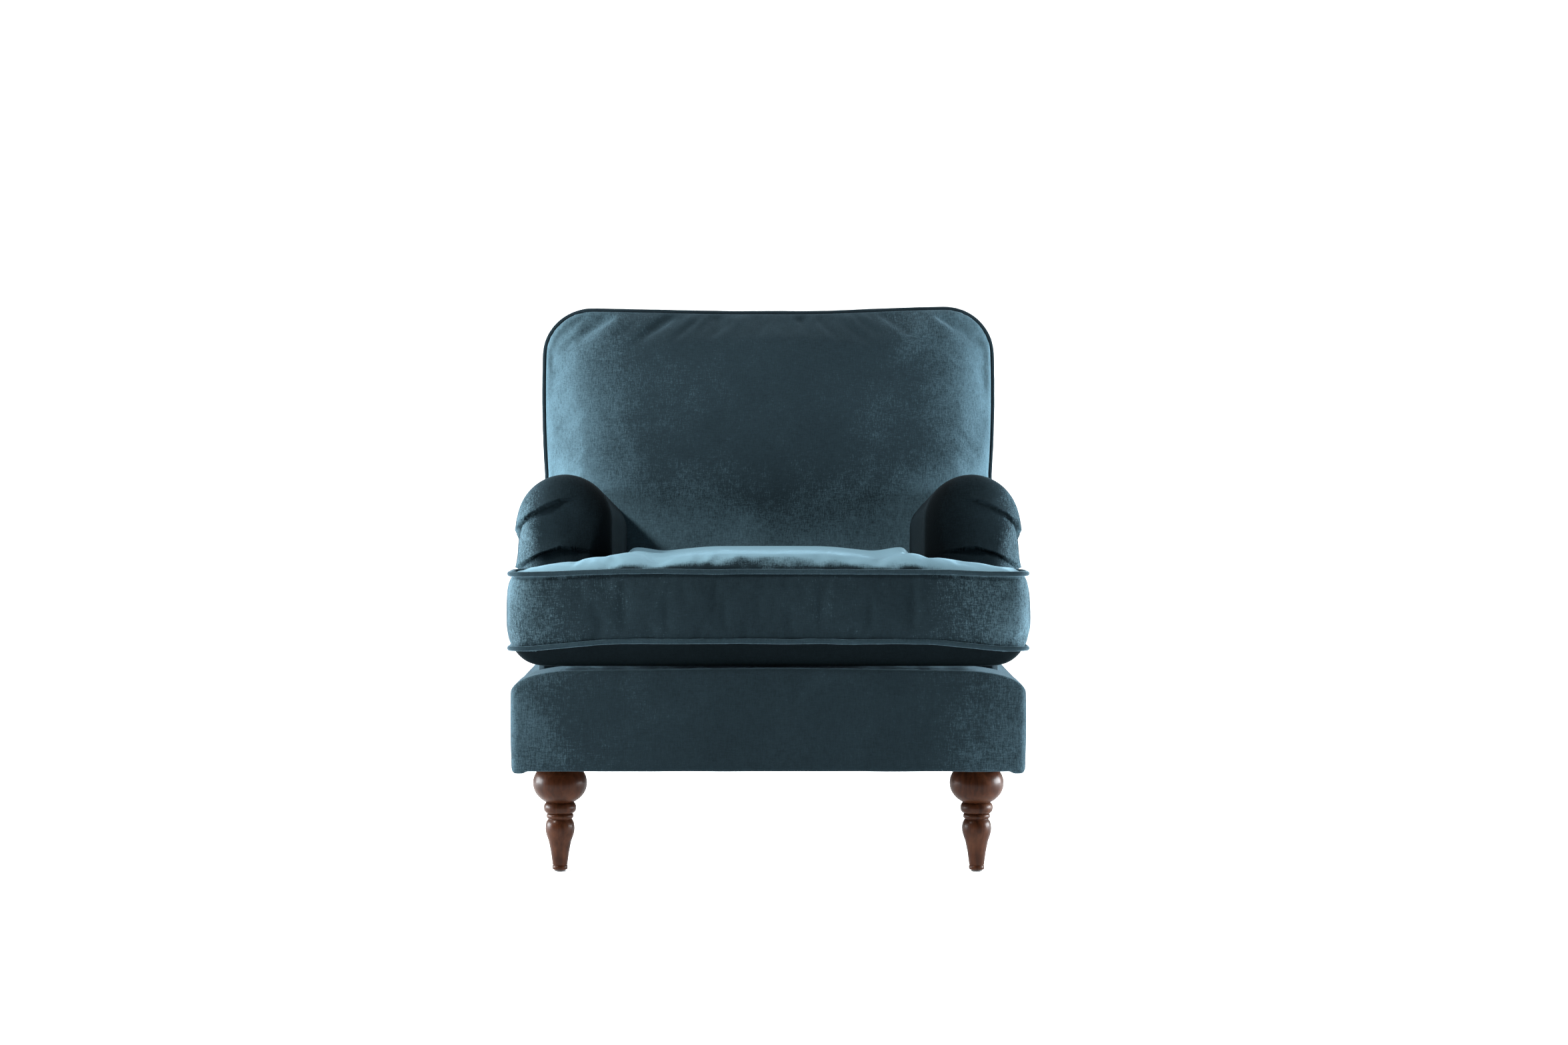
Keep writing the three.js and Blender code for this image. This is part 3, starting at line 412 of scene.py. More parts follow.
def bonded_fibre():
    """The black non-woven cloth under the frame, with its grid of pressed dots."""
    n = Nodes("bonded_fibre")
    place = n.add("ShaderNodeTexCoord").outputs["Object"]
    dots = n.add("ShaderNodeTexVoronoi", {"Vector": place, "Scale": 420.0, "Randomness": 0.15})
    fibre = n.noise(place, 900, 4, 0.7)
    height = n.math("ADD", dots.outputs["Distance"], n.math("MULTIPLY", fibre, 0.5))
    colour = n.mix(n.ramp(height, 0.2, 0.9), rgb(0.008, 0.008, 0.009), rgb(0.035, 0.035, 0.038))
    n.set(Base_Color=colour, Roughness=0.92, Normal=n.bump(height, 0.6, 0.0005))
    return n.material


def moulded_plastic(name, colour):
    """Fine-textured moulded plastic, scuffed in places."""
    n = Nodes(name)
    place = n.add("ShaderNodeTexCoord").outputs["Object"]
    texture = n.noise(place, 1500, 2, 0.6)
    scuff = n.noise(place, 80, 4, 0.7)
    shade = n.mix(n.ramp(scuff, 0.5, 0.75, 0.0, 0.35), colour, rgb(0.10, 0.09, 0.085))
    n.set(Base_Color=shade, Roughness=n.ramp(scuff, 0.3, 0.7, 0.45, 0.65),
          Normal=n.bump(texture, 0.3, 0.0002))
    return n.material


VELVET_DARK = rgb(0.0034, 0.0070, 0.0092)
VELVET_MID = rgb(0.0088, 0.0168, 0.0216)
VELVET_LIGHT = rgb(0.0600, 0.1080, 0.1350)
# A brighter light end for the seat and the arms, a painted highlight.
SEAT_PAINTED_HIGHLIGHT = rgb(0.1000, 0.1760, 0.2160)
# Painted highlight at the outer edges, and painted light on the lower part of the back.
VELVET = brushed_weave("teal_velvet", VELVET_DARK, VELVET_MID, VELVET_LIGHT, 0.40, 0.50,
                       low=0.30)
# Painted highlight at the edges and on the up-facing top.
CUSHION_VELVET = brushed_weave("teal_velvet_seat", VELVET_DARK, VELVET_MID, SEAT_PAINTED_HIGHLIGHT,
                               0.32, 0.25, 0.90)
# Painted highlight at the outer edges and painted shade on the inner sides.
ARM_VELVET = brushed_weave("teal_velvet_arms", VELVET_DARK, VELVET_MID, SEAT_PAINTED_HIGHLIGHT,
                           0.05, 0.24, inner=0.50)
# Painted highlight at the outer edges.
BASE_VELVET = brushed_weave("teal_velvet_base", VELVET_DARK, VELVET_MID, VELVET_LIGHT, 0.12, 0.28)
# A near-black copy of the velvet for the cushion's underside: painted shade.
UNDERSIDE_PAINTED_SHADE = brushed_weave("teal_velvet_underside_shade", rgb(0.0012, 0.0028, 0.0036), rgb(0.0026, 0.0056, 0.0072),
                       rgb(0.006, 0.013, 0.016), 0.03)
# A lighter copy of the velvet for the cushion's cords: painted highlight.
CUSHION_PIPING = brushed_weave("teal_cushion_piping_painted_highlight", rgb(0.006, 0.012, 0.016),
                               rgb(0.016, 0.030, 0.038), rgb(0.05, 0.09, 0.11), 0.4)
# A darker copy of the velvet, painted shade along the back's cord; the zip stitches use it too.
PIPING = brushed_weave("teal_piping_painted_shade", rgb(0.003, 0.006, 0.008), rgb(0.007, 0.013, 0.017),
                       rgb(0.018, 0.032, 0.040), 0.15)
WALNUT = turned_walnut()
BEECH = pale_hardwood()
SPRING_STEEL = drawn_metal("spring_wire", rgb(0.30, 0.31, 0.32), 0.32)
NICKEL = drawn_metal("nickel", rgb(0.52, 0.51, 0.49), 0.25)
WEBBING = plain_weave("elastic_webbing", rgb(0.03, 0.025, 0.02), rgb(0.11, 0.09, 0.07), 0.0022)
DECK_CLOTH = plain_weave("deck_lining", rgb(0.010, 0.020, 0.026), rgb(0.028, 0.048, 0.060), 0.0012)
ZIP_CLOTH = plain_weave("zip_tape", rgb(0.008, 0.016, 0.022), rgb(0.022, 0.040, 0.050), 0.0010)
DUST_CLOTH = bonded_fibre()
GLIDE_PLASTIC = moulded_plastic("glide_plastic", rgb(0.018, 0.016, 0.014))
ZIP_PLASTIC = moulded_plastic("zip_teeth", rgb(0.020, 0.034, 0.042))

SLOT_MATERIALS = {
    "velvet": VELVET, "piping": PIPING, "deck_cloth": DECK_CLOTH, "dust_cloth": DUST_CLOTH,
    "hardwood": BEECH, "spring_steel": SPRING_STEEL, "webbing": WEBBING, "leg_wood": WALNUT,
    "bolt_steel": NICKEL, "glide_plastic": GLIDE_PLASTIC, "zip_tape": ZIP_CLOTH,
    "zip_metal": NICKEL,
}


def dress_cad_nodes():
    for part in frame["record"]["subparts"]:
        node = frame["nodes"][part["node"]]
        node.data.materials.clear()
        node.data.materials.append(SLOT_MATERIALS[part["material_slot"]])


dress_cad_nodes()

# ---- Cloth -------------------------------------------------------------------------------
def run_cloth(obj, held, pressure, slack, reach):
    """Inflates obj as cloth. held gives each point's pin weight from 0 to 1. slack is how much
    longer the cloth is than its held seams, and reach is how far a point may move."""
    scene = bpy.context.scene
    start = [v.co.copy() for v in obj.data.vertices]
    pins = obj.vertex_groups.new(name="held")
    for vertex in obj.data.vertices:
        weight = held(vertex.co)
        if weight > 0:
            pins.add([vertex.index], weight, "REPLACE")
    cloth = obj.modifiers.new("cloth", "CLOTH")
    settings = cloth.settings
    settings.quality = 5
    settings.mass = 0.35
    settings.tension_stiffness = 25
    settings.compression_stiffness = 12
    settings.shear_stiffness = 8
    settings.bending_stiffness = 0.6
    settings.tension_damping = 12
    settings.compression_damping = 12
    settings.air_damping = 4
    settings.use_pressure = True
    settings.uniform_pressure_force = pressure
    settings.shrink_min = -slack
    settings.vertex_group_mass = "held"
    settings.effector_weights.gravity = 0
    cloth.collision_settings.use_collision = False
    cloth.point_cache.frame_start = 1
    cloth.point_cache.frame_end = CLOTH_FRAMES
    for number in range(1, CLOTH_FRAMES + 1):
        scene.frame_set(number)
    apply_modifiers(obj)
    scene.frame_set(1)
    obj.vertex_groups.clear()
    for vertex, origin in zip(obj.data.vertices, start):
        step = vertex.co - origin
        if step.length > reach:
            vertex.co = origin + step * (reach / step.length)


# ---- Tubes for piping --------------------------------------------------------------------
def tube(name, points, radius, material, closed, sides=10):
    """A piping tube through points, with the small swell of a cord inside a cloth strip."""
    count = len(points)
    vertices = []
    side = None
    for i, point in enumerate(points):
        after = points[(i + 1) % count] if closed or i + 1 < count else point
        before = points[i - 1] if closed or i > 0 else point
        along = (after - before).normalized()
        if side is None:
            side = along.cross(Vector((0.3, 1.0, 0.2)))
        side = (side - along * side.dot(along)).normalized()
        rise = side.cross(along)
        swell = radius * (1 + 0.07 * wander(point, 55))
        for j in range(sides):
            angle = 2 * math.pi * j / sides
            vertices.append(point + side * (swell * math.cos(angle)) + rise * (swell * math.sin(angle)))
    faces = grid_faces(count, sides, closed, True)
    if not closed:
        faces.append(tuple(range(sides)))
        faces.append(tuple(range((count - 1) * sides, count * sides)))
    return new_object(name, mesh_from(name, vertices, faces), material)


def lengths_along(points):
    """The distance from a polyline's start to each of its points."""
    lengths = [0.0]
    for a, b in zip(points, points[1:]):
        lengths.append(lengths[-1] + (b - a).length)
    return lengths


def even(points, count):
    """count points at even steps along a polyline, both ends included."""
    lengths = lengths_along(points)
    result, k = [], 0
    for i in range(count):
        target = lengths[-1] * i / (count - 1)
        while k < len(lengths) - 2 and lengths[k + 1] < target:
            k += 1
        span = max(lengths[k + 1] - lengths[k], 1e-9)
        result.append(points[k].lerp(points[k + 1], (target - lengths[k]) / span))
    return result


def resampled(points, spacing, closed):
    """Points about spacing apart along a polyline, or round it where it is closed."""
    loop = points + [points[0]] if closed else points
    steps = max(2, round(lengths_along(loop)[-1] / spacing))
    result = even(loop, steps + 1)
    return result[:-1] if closed else result


def arc(centre, radius, start, end, steps):
    points = []
    for i in range(steps + 1):
        angle = math.radians(start + (end - start) * i / steps)
        points.append(Vector((centre[0] + radius * math.cos(angle),
                              centre[1] + radius * math.sin(angle))))
    return points


# ---- The back ----------------------------------------------------------------------------
PIPE_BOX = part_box("back_piping")
PAD_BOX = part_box("back_pad")
PANEL_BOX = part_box("back_outer_panel")
UP_BACK = Vector((0, math.sin(RECLINE), math.cos(RECLINE)))
INTO_BACK = Vector((0, math.cos(RECLINE), -math.sin(RECLINE)))
BACK_HALF = PAD_BOX[1][0]
# Middle of the top seam, on the plane through the piping's front
TOP_SEAM = Vector((0, PIPE_BOX[1][1], PIPE_BOX[1][2])) - Vector((0, 1, 1)) * PIPING_RADIUS \
    - INTO_BACK * PIPING_RADIUS - UP_BACK * (PIPING_RADIUS + 0.0003)
BACK_LENGTH = (TOP_SEAM.z - PAD_BOX[0][2]) / math.cos(RECLINE)
BACK_DEPTH = (PANEL_BOX[1][1] - TOP_SEAM.y) / math.cos(RECLINE) - 0.006


def stuffed_shape(x, up):
    """The stuffing bows the back's sides out and lifts its top corners, the right one more."""
    bow = max(0.005 * (1 - ((up + 0.11) / 0.15) ** 2), -0.0027)
    lift = (0.0048 if x < 0 else 0.0085) * smoothstep(0.05, 0.33, abs(x))
    return x * (1 + bow / BACK_HALF), up + lift * smoothstep(-0.25, 0.0, up)


def from_back(x, up, into):
    """A place on the back: across, up from the top seam (negative is down), and rearwards."""
    x, up = stuffed_shape(x, up)
    return TOP_SEAM + Vector((x, 0, 0)) + UP_BACK * up + INTO_BACK * into


def back_outline(inset, foot):
    """The outline of the back from its lower right corner over the top to its lower left."""
    half = BACK_HALF - inset
    radius = BACK_CORNER - inset
    points = [Vector((half, foot))]
    points += arc((half - radius, -inset - radius), radius, 0, 90, 12)
    points += arc((-half + radius, -inset - radius), radius, 90, 180, 12)
    points.append(Vector((-half, foot)))
    return points


def inside_distance(x, up):
    """How far a place lies inside the back's outline, sides and top only."""
    dx, dz = abs(x) - (BACK_HALF - BACK_CORNER), up + BACK_CORNER
    if dx > 0 and dz > 0:
        return BACK_CORNER - math.hypot(dx, dz)
    return min(BACK_HALF - abs(x), -up)


def seam_puckers(x, up, edge):
    """Gathers that run in from the seams. Along the top they lean out towards the corners,
    and they are longest there."""
    lean = smoothstep(0.03, 0.24, abs(x)) * 1.1
    along = x - math.copysign(lean * up, x)
    top = noise.noise(Vector((along * 27, 3.1, up * 5)))
    top += 0.5 * noise.noise(Vector((along * 61, 8, up * 9)))
    reach = 0.017 + 0.022 * smoothstep(0.10, 0.34, abs(x))
    near_top = math.exp(up / reach) * smoothstep(0.003, 0.014, edge)
    fade_side = 1 - smoothstep(0.375, 0.397, abs(x))
    side_height = up + 0.8 * (BACK_HALF - abs(x))
    side = noise.noise(Vector((side_height * 24, 6.4 + 3 * (x > 0), abs(x) * 4)))
    near_side = math.exp(-(BACK_HALF - abs(x)) / 0.020) * smoothstep(0.003, 0.014, edge)
    near_side *= 1 - smoothstep(-0.10, -0.03, up)
    return 0.0240 * top * near_top * fade_side + 0.0120 * side * near_side


def build_back_face():
    foot = -BACK_LENGTH + 0.004
    outline = back_outline(-0.0012, foot)
    front, rear = -0.004, 0.030
    count = len(outline)
    vertices = [Vector((p.x, into, p.y)) for into in (front, rear) for p in outline]
    faces = grid_faces(2, count, False, True)
    faces += [tuple(range(count)), tuple(range(2 * count - 1, count - 1, -1))]
    obj = new_object("back_cover", mesh_from("back_cover", vertices, faces), VELVET)
    remesh(obj, CLOTH_CELL)
    crown = membrane(inside_distance, (-BACK_HALF, -0.9), (BACK_HALF, 0.0), 0.009)

    for vertex in obj.data.vertices:
        share = 1 - smoothstep(front, rear * 0.6, vertex.co.y)
        vertex.co.y -= 0.034 * fullness(crown(vertex.co.x, vertex.co.z), 5.0) * share

    def held(co):
        if co.y > 0.008:
            return 1.0
        return 1 - smoothstep(0.003, 0.012, inside_distance(co.x, co.z))

    run_cloth(obj, held, pressure=2.5, slack=0.020, reach=0.009)
    for vertex in obj.data.vertices:
        edge = inside_distance(vertex.co.x, vertex.co.z)
        if vertex.co.y < 0.006 and 0 < edge < 0.2:
            vertex.co.y -= seam_puckers(vertex.co.x, vertex.co.z, edge)
    smooth(obj, 0.5, 1)
    subdivide(obj)
    for vertex in obj.data.vertices:
        vertex.co = from_back(vertex.co.x, vertex.co.z, vertex.co.y)
    finish_piece(obj, "chair", "velvet", "back_pad")


def outward_of(outline, i):
    along = (outline[min(i + 1, len(outline) - 1)] - outline[max(i - 1, 0)]).normalized()
    return Vector((along.y, -along.x))


def build_back_boxing():
    """The padded strip round the sides and top of the back, from its piping to its outer panel."""
    outline = resampled(back_outline(0.0, -BACK_LENGTH + 0.003), 0.006, False)
    steps, wall, start = 24, 0.012, 0.0042
    rows = []
    for i, point in enumerate(outline):
        outward = outward_of(outline, i)
        for k in range(steps + 1):
            share = k / steps
            into = start + (BACK_DEPTH - start - 0.001) * share
            bulge = 0.0028 + 0.0022 * math.sin(math.pi * share) ** 0.5
            gather = noise.noise(Vector((i * 0.17, 0.5, 2.2))) * math.exp(-share * 7) * 0.0016
            bulge += 0.0010 * wander((point.x, point.y, into), 20) + gather * math.sin(math.pi * share)
            place = point + outward * bulge
            rows.append(from_back(place.x, place.y, into))
        inner = point - outward * wall
        rows += [from_back(inner.x, inner.y, BACK_DEPTH - 0.002), from_back(inner.x, inner.y, start)]
    columns, ring = steps + 3, len(outline)
    faces = grid_faces(ring, columns, False, True)
    faces.append(tuple(range(columns)))
    faces.append(tuple(range((ring - 1) * columns, ring * columns)))
    obj = new_object("back_boxing", mesh_from("back_boxing", rows, faces), VELVET)
    finish_piece(obj, "chair", "velvet",
                 "back_border_left", "back_border_right", "back_border_top")


def build_outer_panel():
    """The outside back: a taut panel, slightly dished between its blind-stitched edges."""
    foot = -BACK_LENGTH + 0.002
    columns, rows, thickness = 110, 92, 0.005

    def fitted(u, v):
        x, up = BACK_HALF * (2 * u - 1), foot * (1 - v)
        dx = abs(x) - (BACK_HALF - BACK_CORNER)
        if up > -BACK_CORNER and dx > 0:
            up = min(up, -BACK_CORNER + math.sqrt(max(BACK_CORNER ** 2 - dx ** 2, 0)))
        return x, up

    vertices = []
    for side in (1, 0):
        for j in range(rows + 1):
            for i in range(columns + 1):
                x, up = fitted(i / columns, j / rows)
                edge = max(min(inside_distance(x, up), up - foot), 0)
                roll = -0.0035 * math.exp(-edge / 0.004)
                pull = 0.0006 * math.sin(edge * 900) * math.exp(-edge / 0.004)
                dish = 0.0014 * wander((x, up, 0), 9) * smoothstep(0, 0.08, edge)
                into = BACK_DEPTH + (thickness + roll + pull + dish if side else 0.0)
                vertices.append(from_back(x, up, into))
    size = (columns + 1) * (rows + 1)
    faces = grid_faces(rows + 1, columns + 1)
    faces += [tuple(size + k for k in reversed(f)) for f in grid_faces(rows + 1, columns + 1)]
    faces += rim_faces(rows + 1, columns + 1)
    obj = new_object("outside_back", mesh_from("outside_back", vertices, faces), VELVET)
    finish_piece(obj, "chair", "velvet", "back_outer_panel")


def build_back_piping():
    outline = back_outline(-PIPING_RADIUS * 0.8, -BACK_LENGTH + 0.004)
    points = [from_back(p.x, p.y, PIPING_RADIUS * 0.7) for p in resampled(outline, 0.006, False)]
    for point in points:
        point += UP_BACK * (0.0007 * wander(point, 14)) + INTO_BACK * (0.0008 * wander(point, 17, 5))
    obj = tube("back_cord_piping", points, PIPING_RADIUS, PIPING, False, 12)
    finish_piece(obj, "chair", "piping", "back_piping")


# ---- The seat cushion --------------------------------------------------------------------
CUSHION_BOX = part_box("seat_cushion")
TOP_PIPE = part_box("cushion_piping_top")
LOW_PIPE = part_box("cushion_piping_bottom")
ARM_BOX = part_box("arm_pad_right")
ZIP_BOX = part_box("zip_tape")
EAR_HALF = CUSHION_BOX[1][0]
BODY_HALF = ARM_BOX[0][0] - 0.011
CUSHION_FRONT = CUSHION_BOX[0][1]
CUSHION_REAR = CUSHION_BOX[1][1]
EAR_REAR = ARM_BOX[0][1] - 0.010
EAR_CORNER = 0.020
NOTCH_CORNER = 0.010
TOP_SEAM_Z = (TOP_PIPE[0][2] + TOP_PIPE[1][2]) / 2
CUSHION_MIDDLE_Z = 0.44
LOW_SEAM_Z = (LOW_PIPE[0][2] + LOW_PIPE[1][2]) / 2 + 0.004
PIPING_REACH = 0.0043            # the piping's middle beyond the panels


def cushion_outline(offset=0.0):
    """The T-shaped plan, counter-clockwise from the front left corner."""
    ear, body = EAR_HALF + offset, BODY_HALF + offset
    front, notch, rear = CUSHION_FRONT - offset, EAR_REAR + offset, CUSHION_REAR + offset
    r, n = EAR_CORNER + offset, NOTCH_CORNER - offset
    points = arc((-ear + r, front + r), r, 180, 270, 8)
    points += arc((ear - r, front + r), r, 270, 360, 8)
    points += arc((ear - r, notch - r), r, 0, 90, 8)
    points += arc((body + n, notch + n), n, 270, 180, 6)
    points += arc((body - r, rear - r), r, 0, 90, 8)
    points += arc((-body + r, rear - r), r, 90, 180, 8)
    points += arc((-body - n, notch + n), n, 0, -90, 6)
    points += arc((-ear + r, notch - r), r, 90, 180, 8)
    return points


def box_distance(x, y, low, high, radius):
    """Distance outside a rectangle with rounded corners, negative inside it."""
    cx, cy = (low[0] + high[0]) / 2, (low[1] + high[1]) / 2
    qx = abs(x - cx) - (high[0] - low[0]) / 2 + radius
    qy = abs(y - cy) - (high[1] - low[1]) / 2 + radius
    return math.hypot(max(qx, 0), max(qy, 0)) + min(max(qx, qy), 0) - radius


def cushion_inside(x, y, front=CUSHION_FRONT):
    """How far a place lies inside the cushion's plan."""
    ears = box_distance(x, y, (-EAR_HALF, front), (EAR_HALF, EAR_REAR), EAR_CORNER)
    body = box_distance(x, y, (-BODY_HALF, front), (BODY_HALF, CUSHION_REAR), EAR_CORNER)
    soft = 0.012
    blend = max(soft - abs(ears - body), 0) / soft
    return -(min(ears, body) - blend * blend * soft / 4)


def ear_droop(x, z):
    """The ears hang a little beyond the arms, most at their lower corners."""
    out = smoothstep(0.22, EAR_HALF, abs(x))
    low = 1 - smoothstep(LOW_SEAM_Z - 0.02, TOP_SEAM_Z, z)
    return out * (0.0045 + 0.008 * low)


def seat_arch(x):
    """Evens the crown across the width, from the middle out into the ears."""
    side = abs(x)
    rise = smoothstep(0.165, 0.240, side) * (1 - smoothstep(0.265, 0.385, side))
    return 0.0122 * rise - 0.0080 * smoothstep(0.08, 0.20, side)


def rear_droop(x, y):
    """The top falls a little at the cushion's rear corners."""
    return 0.010 * smoothstep(-0.12, 0.13, y) * smoothstep(0.04, 0.24, abs(x))


def shape_cushion(co, skin):
    """Crowns the top, draws the underside down to the deck and rounds the boxing."""
    inside = max(cushion_inside(co.x, co.y), 0)
    height = (co.z - LOW_SEAM_Z) / (TOP_SEAM_Z - LOW_SEAM_Z)
    full = fullness(skin(co.x, co.y), 14.0)
    droop = ear_droop(co.x, co.z)
    if height > 0.5:
        arch = 1 - 0.2 * (co.x / EAR_HALF) ** 2 - 0.62 * smoothstep(-0.20, 0.15, co.y)
        co.z += 0.0225 * arch * full * smoothstep(0.80, 1.0, height)
        co.z += seat_arch(co.x) * full * smoothstep(0.80, 1.0, height)
        co.z -= rear_droop(co.x, co.y) * smoothstep(0.5, 1.0, height)
    else:
        drop = LOW_SEAM_Z - ear_droop(co.x, LOW_SEAM_Z) - CUSHION_BOX[0][2] - 0.0006
        sides = max(cushion_inside(co.x, co.y, CUSHION_FRONT - 0.3), 0)
        from_front = max(co.y - CUSHION_FRONT, 0)
        sunk = math.tanh(sides / 0.023) * (1 - math.exp(-from_front / 0.0050))
        co.z -= drop * sunk * (1 - smoothstep(0.0, 0.2, height))
    if 0 < height < 1 and inside < 0.02:
        plump = 1 - smoothstep(CUSHION_REAR - 0.035, CUSHION_REAR - 0.015, co.y)
        between_arms = smoothstep(EAR_REAR - 0.01, EAR_REAR + 0.02, co.y)
        plump *= 1 - 0.55 * between_arms
        bulge = 0.0058 * math.sin(math.pi * height) ** 0.7 * (1 - inside / 0.02) * plump
        outward = Vector((cushion_inside(co.x - 0.002, co.y) - cushion_inside(co.x + 0.002, co.y),
                          cushion_inside(co.x, co.y - 0.002) - cushion_inside(co.x, co.y + 0.002), 0))
        if outward.length > 1e-6:
            co += outward.normalized() * bulge
    co.z -= droop


def cushion_gathers(co, inside):
    """Fine gathers in the top panel along its seam, strongest at the ears."""
    near_corner = smoothstep(0.26, 0.38, abs(co.x))
    wave = noise.noise(Vector((co.x * 30 + 9 * (co.x > 0), co.y * 30, 4.2)))
    fine = noise.noise(Vector((co.x * 75, co.y * 24, 7.7)))
    fade = math.exp(-inside / 0.028) * smoothstep(0.0, 0.010, inside)
    return (0.0016 + 0.0026 * near_corner) * (wave + 0.6 * fine) * fade


def build_cushion():
    outline = cushion_outline(0.001)
    count = len(outline)
    vertices = [Vector((p.x, p.y, z)) for z in (LOW_SEAM_Z, TOP_SEAM_Z) for p in outline]
    faces = grid_faces(2, count, False, True)
    faces += [tuple(reversed(range(count))), tuple(range(count, 2 * count))]
    obj = new_object("cushion_cover", mesh_from("cushion_cover", vertices, faces), CUSHION_VELVET)
    remesh(obj, CLOTH_CELL)
    skin = membrane(cushion_inside, (-EAR_HALF, CUSHION_FRONT), (EAR_HALF, CUSHION_REAR), 0.008)
    for vertex in obj.data.vertices:
        shape_cushion(vertex.co, skin)

    def held(co):
        inside = cushion_inside(co.x, co.y)
        level = co.z + ear_droop(co.x, co.z) + rear_droop(co.x, co.y) * (co.z > CUSHION_MIDDLE_Z)
        if level < LOW_SEAM_Z + 0.004:
            return 1.0
        behind = smoothstep(CUSHION_REAR - 0.02, CUSHION_REAR - 0.006, co.y)
        top = 1 - smoothstep(0.002, 0.010, abs(level - TOP_SEAM_Z))
        low = 1 - smoothstep(0.003, 0.010, abs(level - LOW_SEAM_Z))
        grip = max(top, low) * (1 - smoothstep(0.006, 0.014, inside))
        return max(grip, behind * (level < TOP_SEAM_Z))

    run_cloth(obj, held, pressure=2.2, slack=0.020, reach=0.0055)
    for vertex in obj.data.vertices:
        co = vertex.co
        inside = cushion_inside(co.x, co.y)
        if co.z > TOP_SEAM_Z - 0.004 and inside < 0.12:
            co.z += cushion_gathers(co, inside)
        co.z = max(co.z, CUSHION_BOX[0][2] + 0.0004)
    smooth(obj, 0.5, 2)
    subdivide(obj)
    # The underside faces take the near-black copy: painted shade under the cushion.
    obj.data.materials.append(UNDERSIDE_PAINTED_SHADE)
    for face in obj.data.polygons:
        seam = LOW_SEAM_Z - ear_droop(face.center.x, LOW_SEAM_Z)
        face.material_index = 1 if face.center.z < seam - 0.0025 else 0
    finish_piece(obj, "cushion", "velvet", "seat_cushion")


def build_cushion_piping():
    for name, z, node in (("cushion_cord_top", TOP_SEAM_Z, "cushion_piping_top"),
                          ("cushion_cord_bottom", LOW_SEAM_Z, "cushion_piping_bottom")):
        points = []
        for p in resampled([Vector((q.x, q.y, 0)) for q in cushion_outline(PIPING_REACH)], 0.005, True):
            wave = 0.0010 * wander((p.x, p.y, z), 11) + 0.0005 * wander((p.x, p.y, z), 35)
            fall = rear_droop(p.x, p.y) if node == "cushion_piping_top" else 0.0
            points.append(Vector((p.x, p.y, z - ear_droop(p.x, z) - fall + wave)))
        obj = tube(name, points, PIPING_RADIUS, CUSHION_PIPING, True, 12)
        finish_piece(obj, "cushion", "piping", node)


# ---- The zip at the back of the cushion --------------------------------------------------
def add_box(bm, centre, size):
    made = bmesh.ops.create_cube(bm, size=1.0)["verts"]
    bmesh.ops.scale(bm, vec=size, verts=made)
    bmesh.ops.translate(bm, vec=centre, verts=made)


def from_bmesh(name, bm, material, bevel=0.0):
    mesh = bpy.data.meshes.new(name)
    if bevel:
        edges = [e for e in bm.edges if e.calc_face_angle(0) > 0.6]
        bmesh.ops.bevel(bm, geom=edges, offset=bevel, segments=2, affect="EDGES", profile=0.5)
    bm.to_mesh(mesh)
    bm.free()
    obj = new_object(name, mesh, material)
    for face in mesh.polygons:
        face.use_smooth = False
    return obj


def build_zip():
    low, high = ZIP_BOX
    middle, mid_z = low[1] + 0.0007, (low[2] + high[2]) / 2
    columns, rows = 220, 5
    vertices, faces = [], []
    for z0, z1 in ((low[2], mid_z - 0.0016), (mid_z + 0.0016, high[2])):
        for side in (0, 1):
            for j in range(rows):
                for i in range(columns):
                    x = low[0] + (high[0] - low[0]) * i / (columns - 1)
                    z = z0 + (z1 - z0) * j / (rows - 1)
                    y = low[1] + 0.0001 + 0.0011 * side + 0.00025 * wander((x, 0, z), 60)
                    vertices.append(Vector((x, y, z)))
        first = len(vertices) - 2 * rows * columns
        sheet = grid_faces(rows, columns)
        faces += [tuple(first + k for k in reversed(f)) for f in sheet]
        faces += [tuple(first + rows * columns + k for k in f) for f in sheet]
        faces += [tuple(first + k for k in f) for f in rim_faces(rows, columns)]
    tape = new_object("zip_cloth", mesh_from("zip_cloth", vertices, faces), ZIP_CLOTH)
    finish_piece(tape, "cushion", "zip_tape", "zip_tape")

    points = []
    turns, per_turn = 180, 10
    for i in range(turns * per_turn):
        angle = 2 * math.pi * i / per_turn
        x = low[0] + 0.004 + (high[0] - low[0] - 0.008) * i / (turns * per_turn - 1)
        points.append(Vector((x, middle + 0.0012 + 0.0009 * math.sin(angle),
                              mid_z + 0.0022 * math.cos(angle))))
    coil = tube("zip_coil", points, 0.00035, ZIP_PLASTIC, False, 6)
    finish_piece(coil, "cushion", "zip_tape")

    bm = bmesh.new()
    for z in (low[2] + 0.0025, high[2] - 0.0025):
        for k in range(110):
            x = low[0] + 0.003 + (high[0] - low[0] - 0.006) * k / 109
            add_box(bm, (x, low[1] + 0.0014, z), (0.0026, 0.0005, 0.0005))
    stitches = from_bmesh("zip_stitches", bm, PIPING)
    finish_piece(stitches, "cushion", "zip_tape")


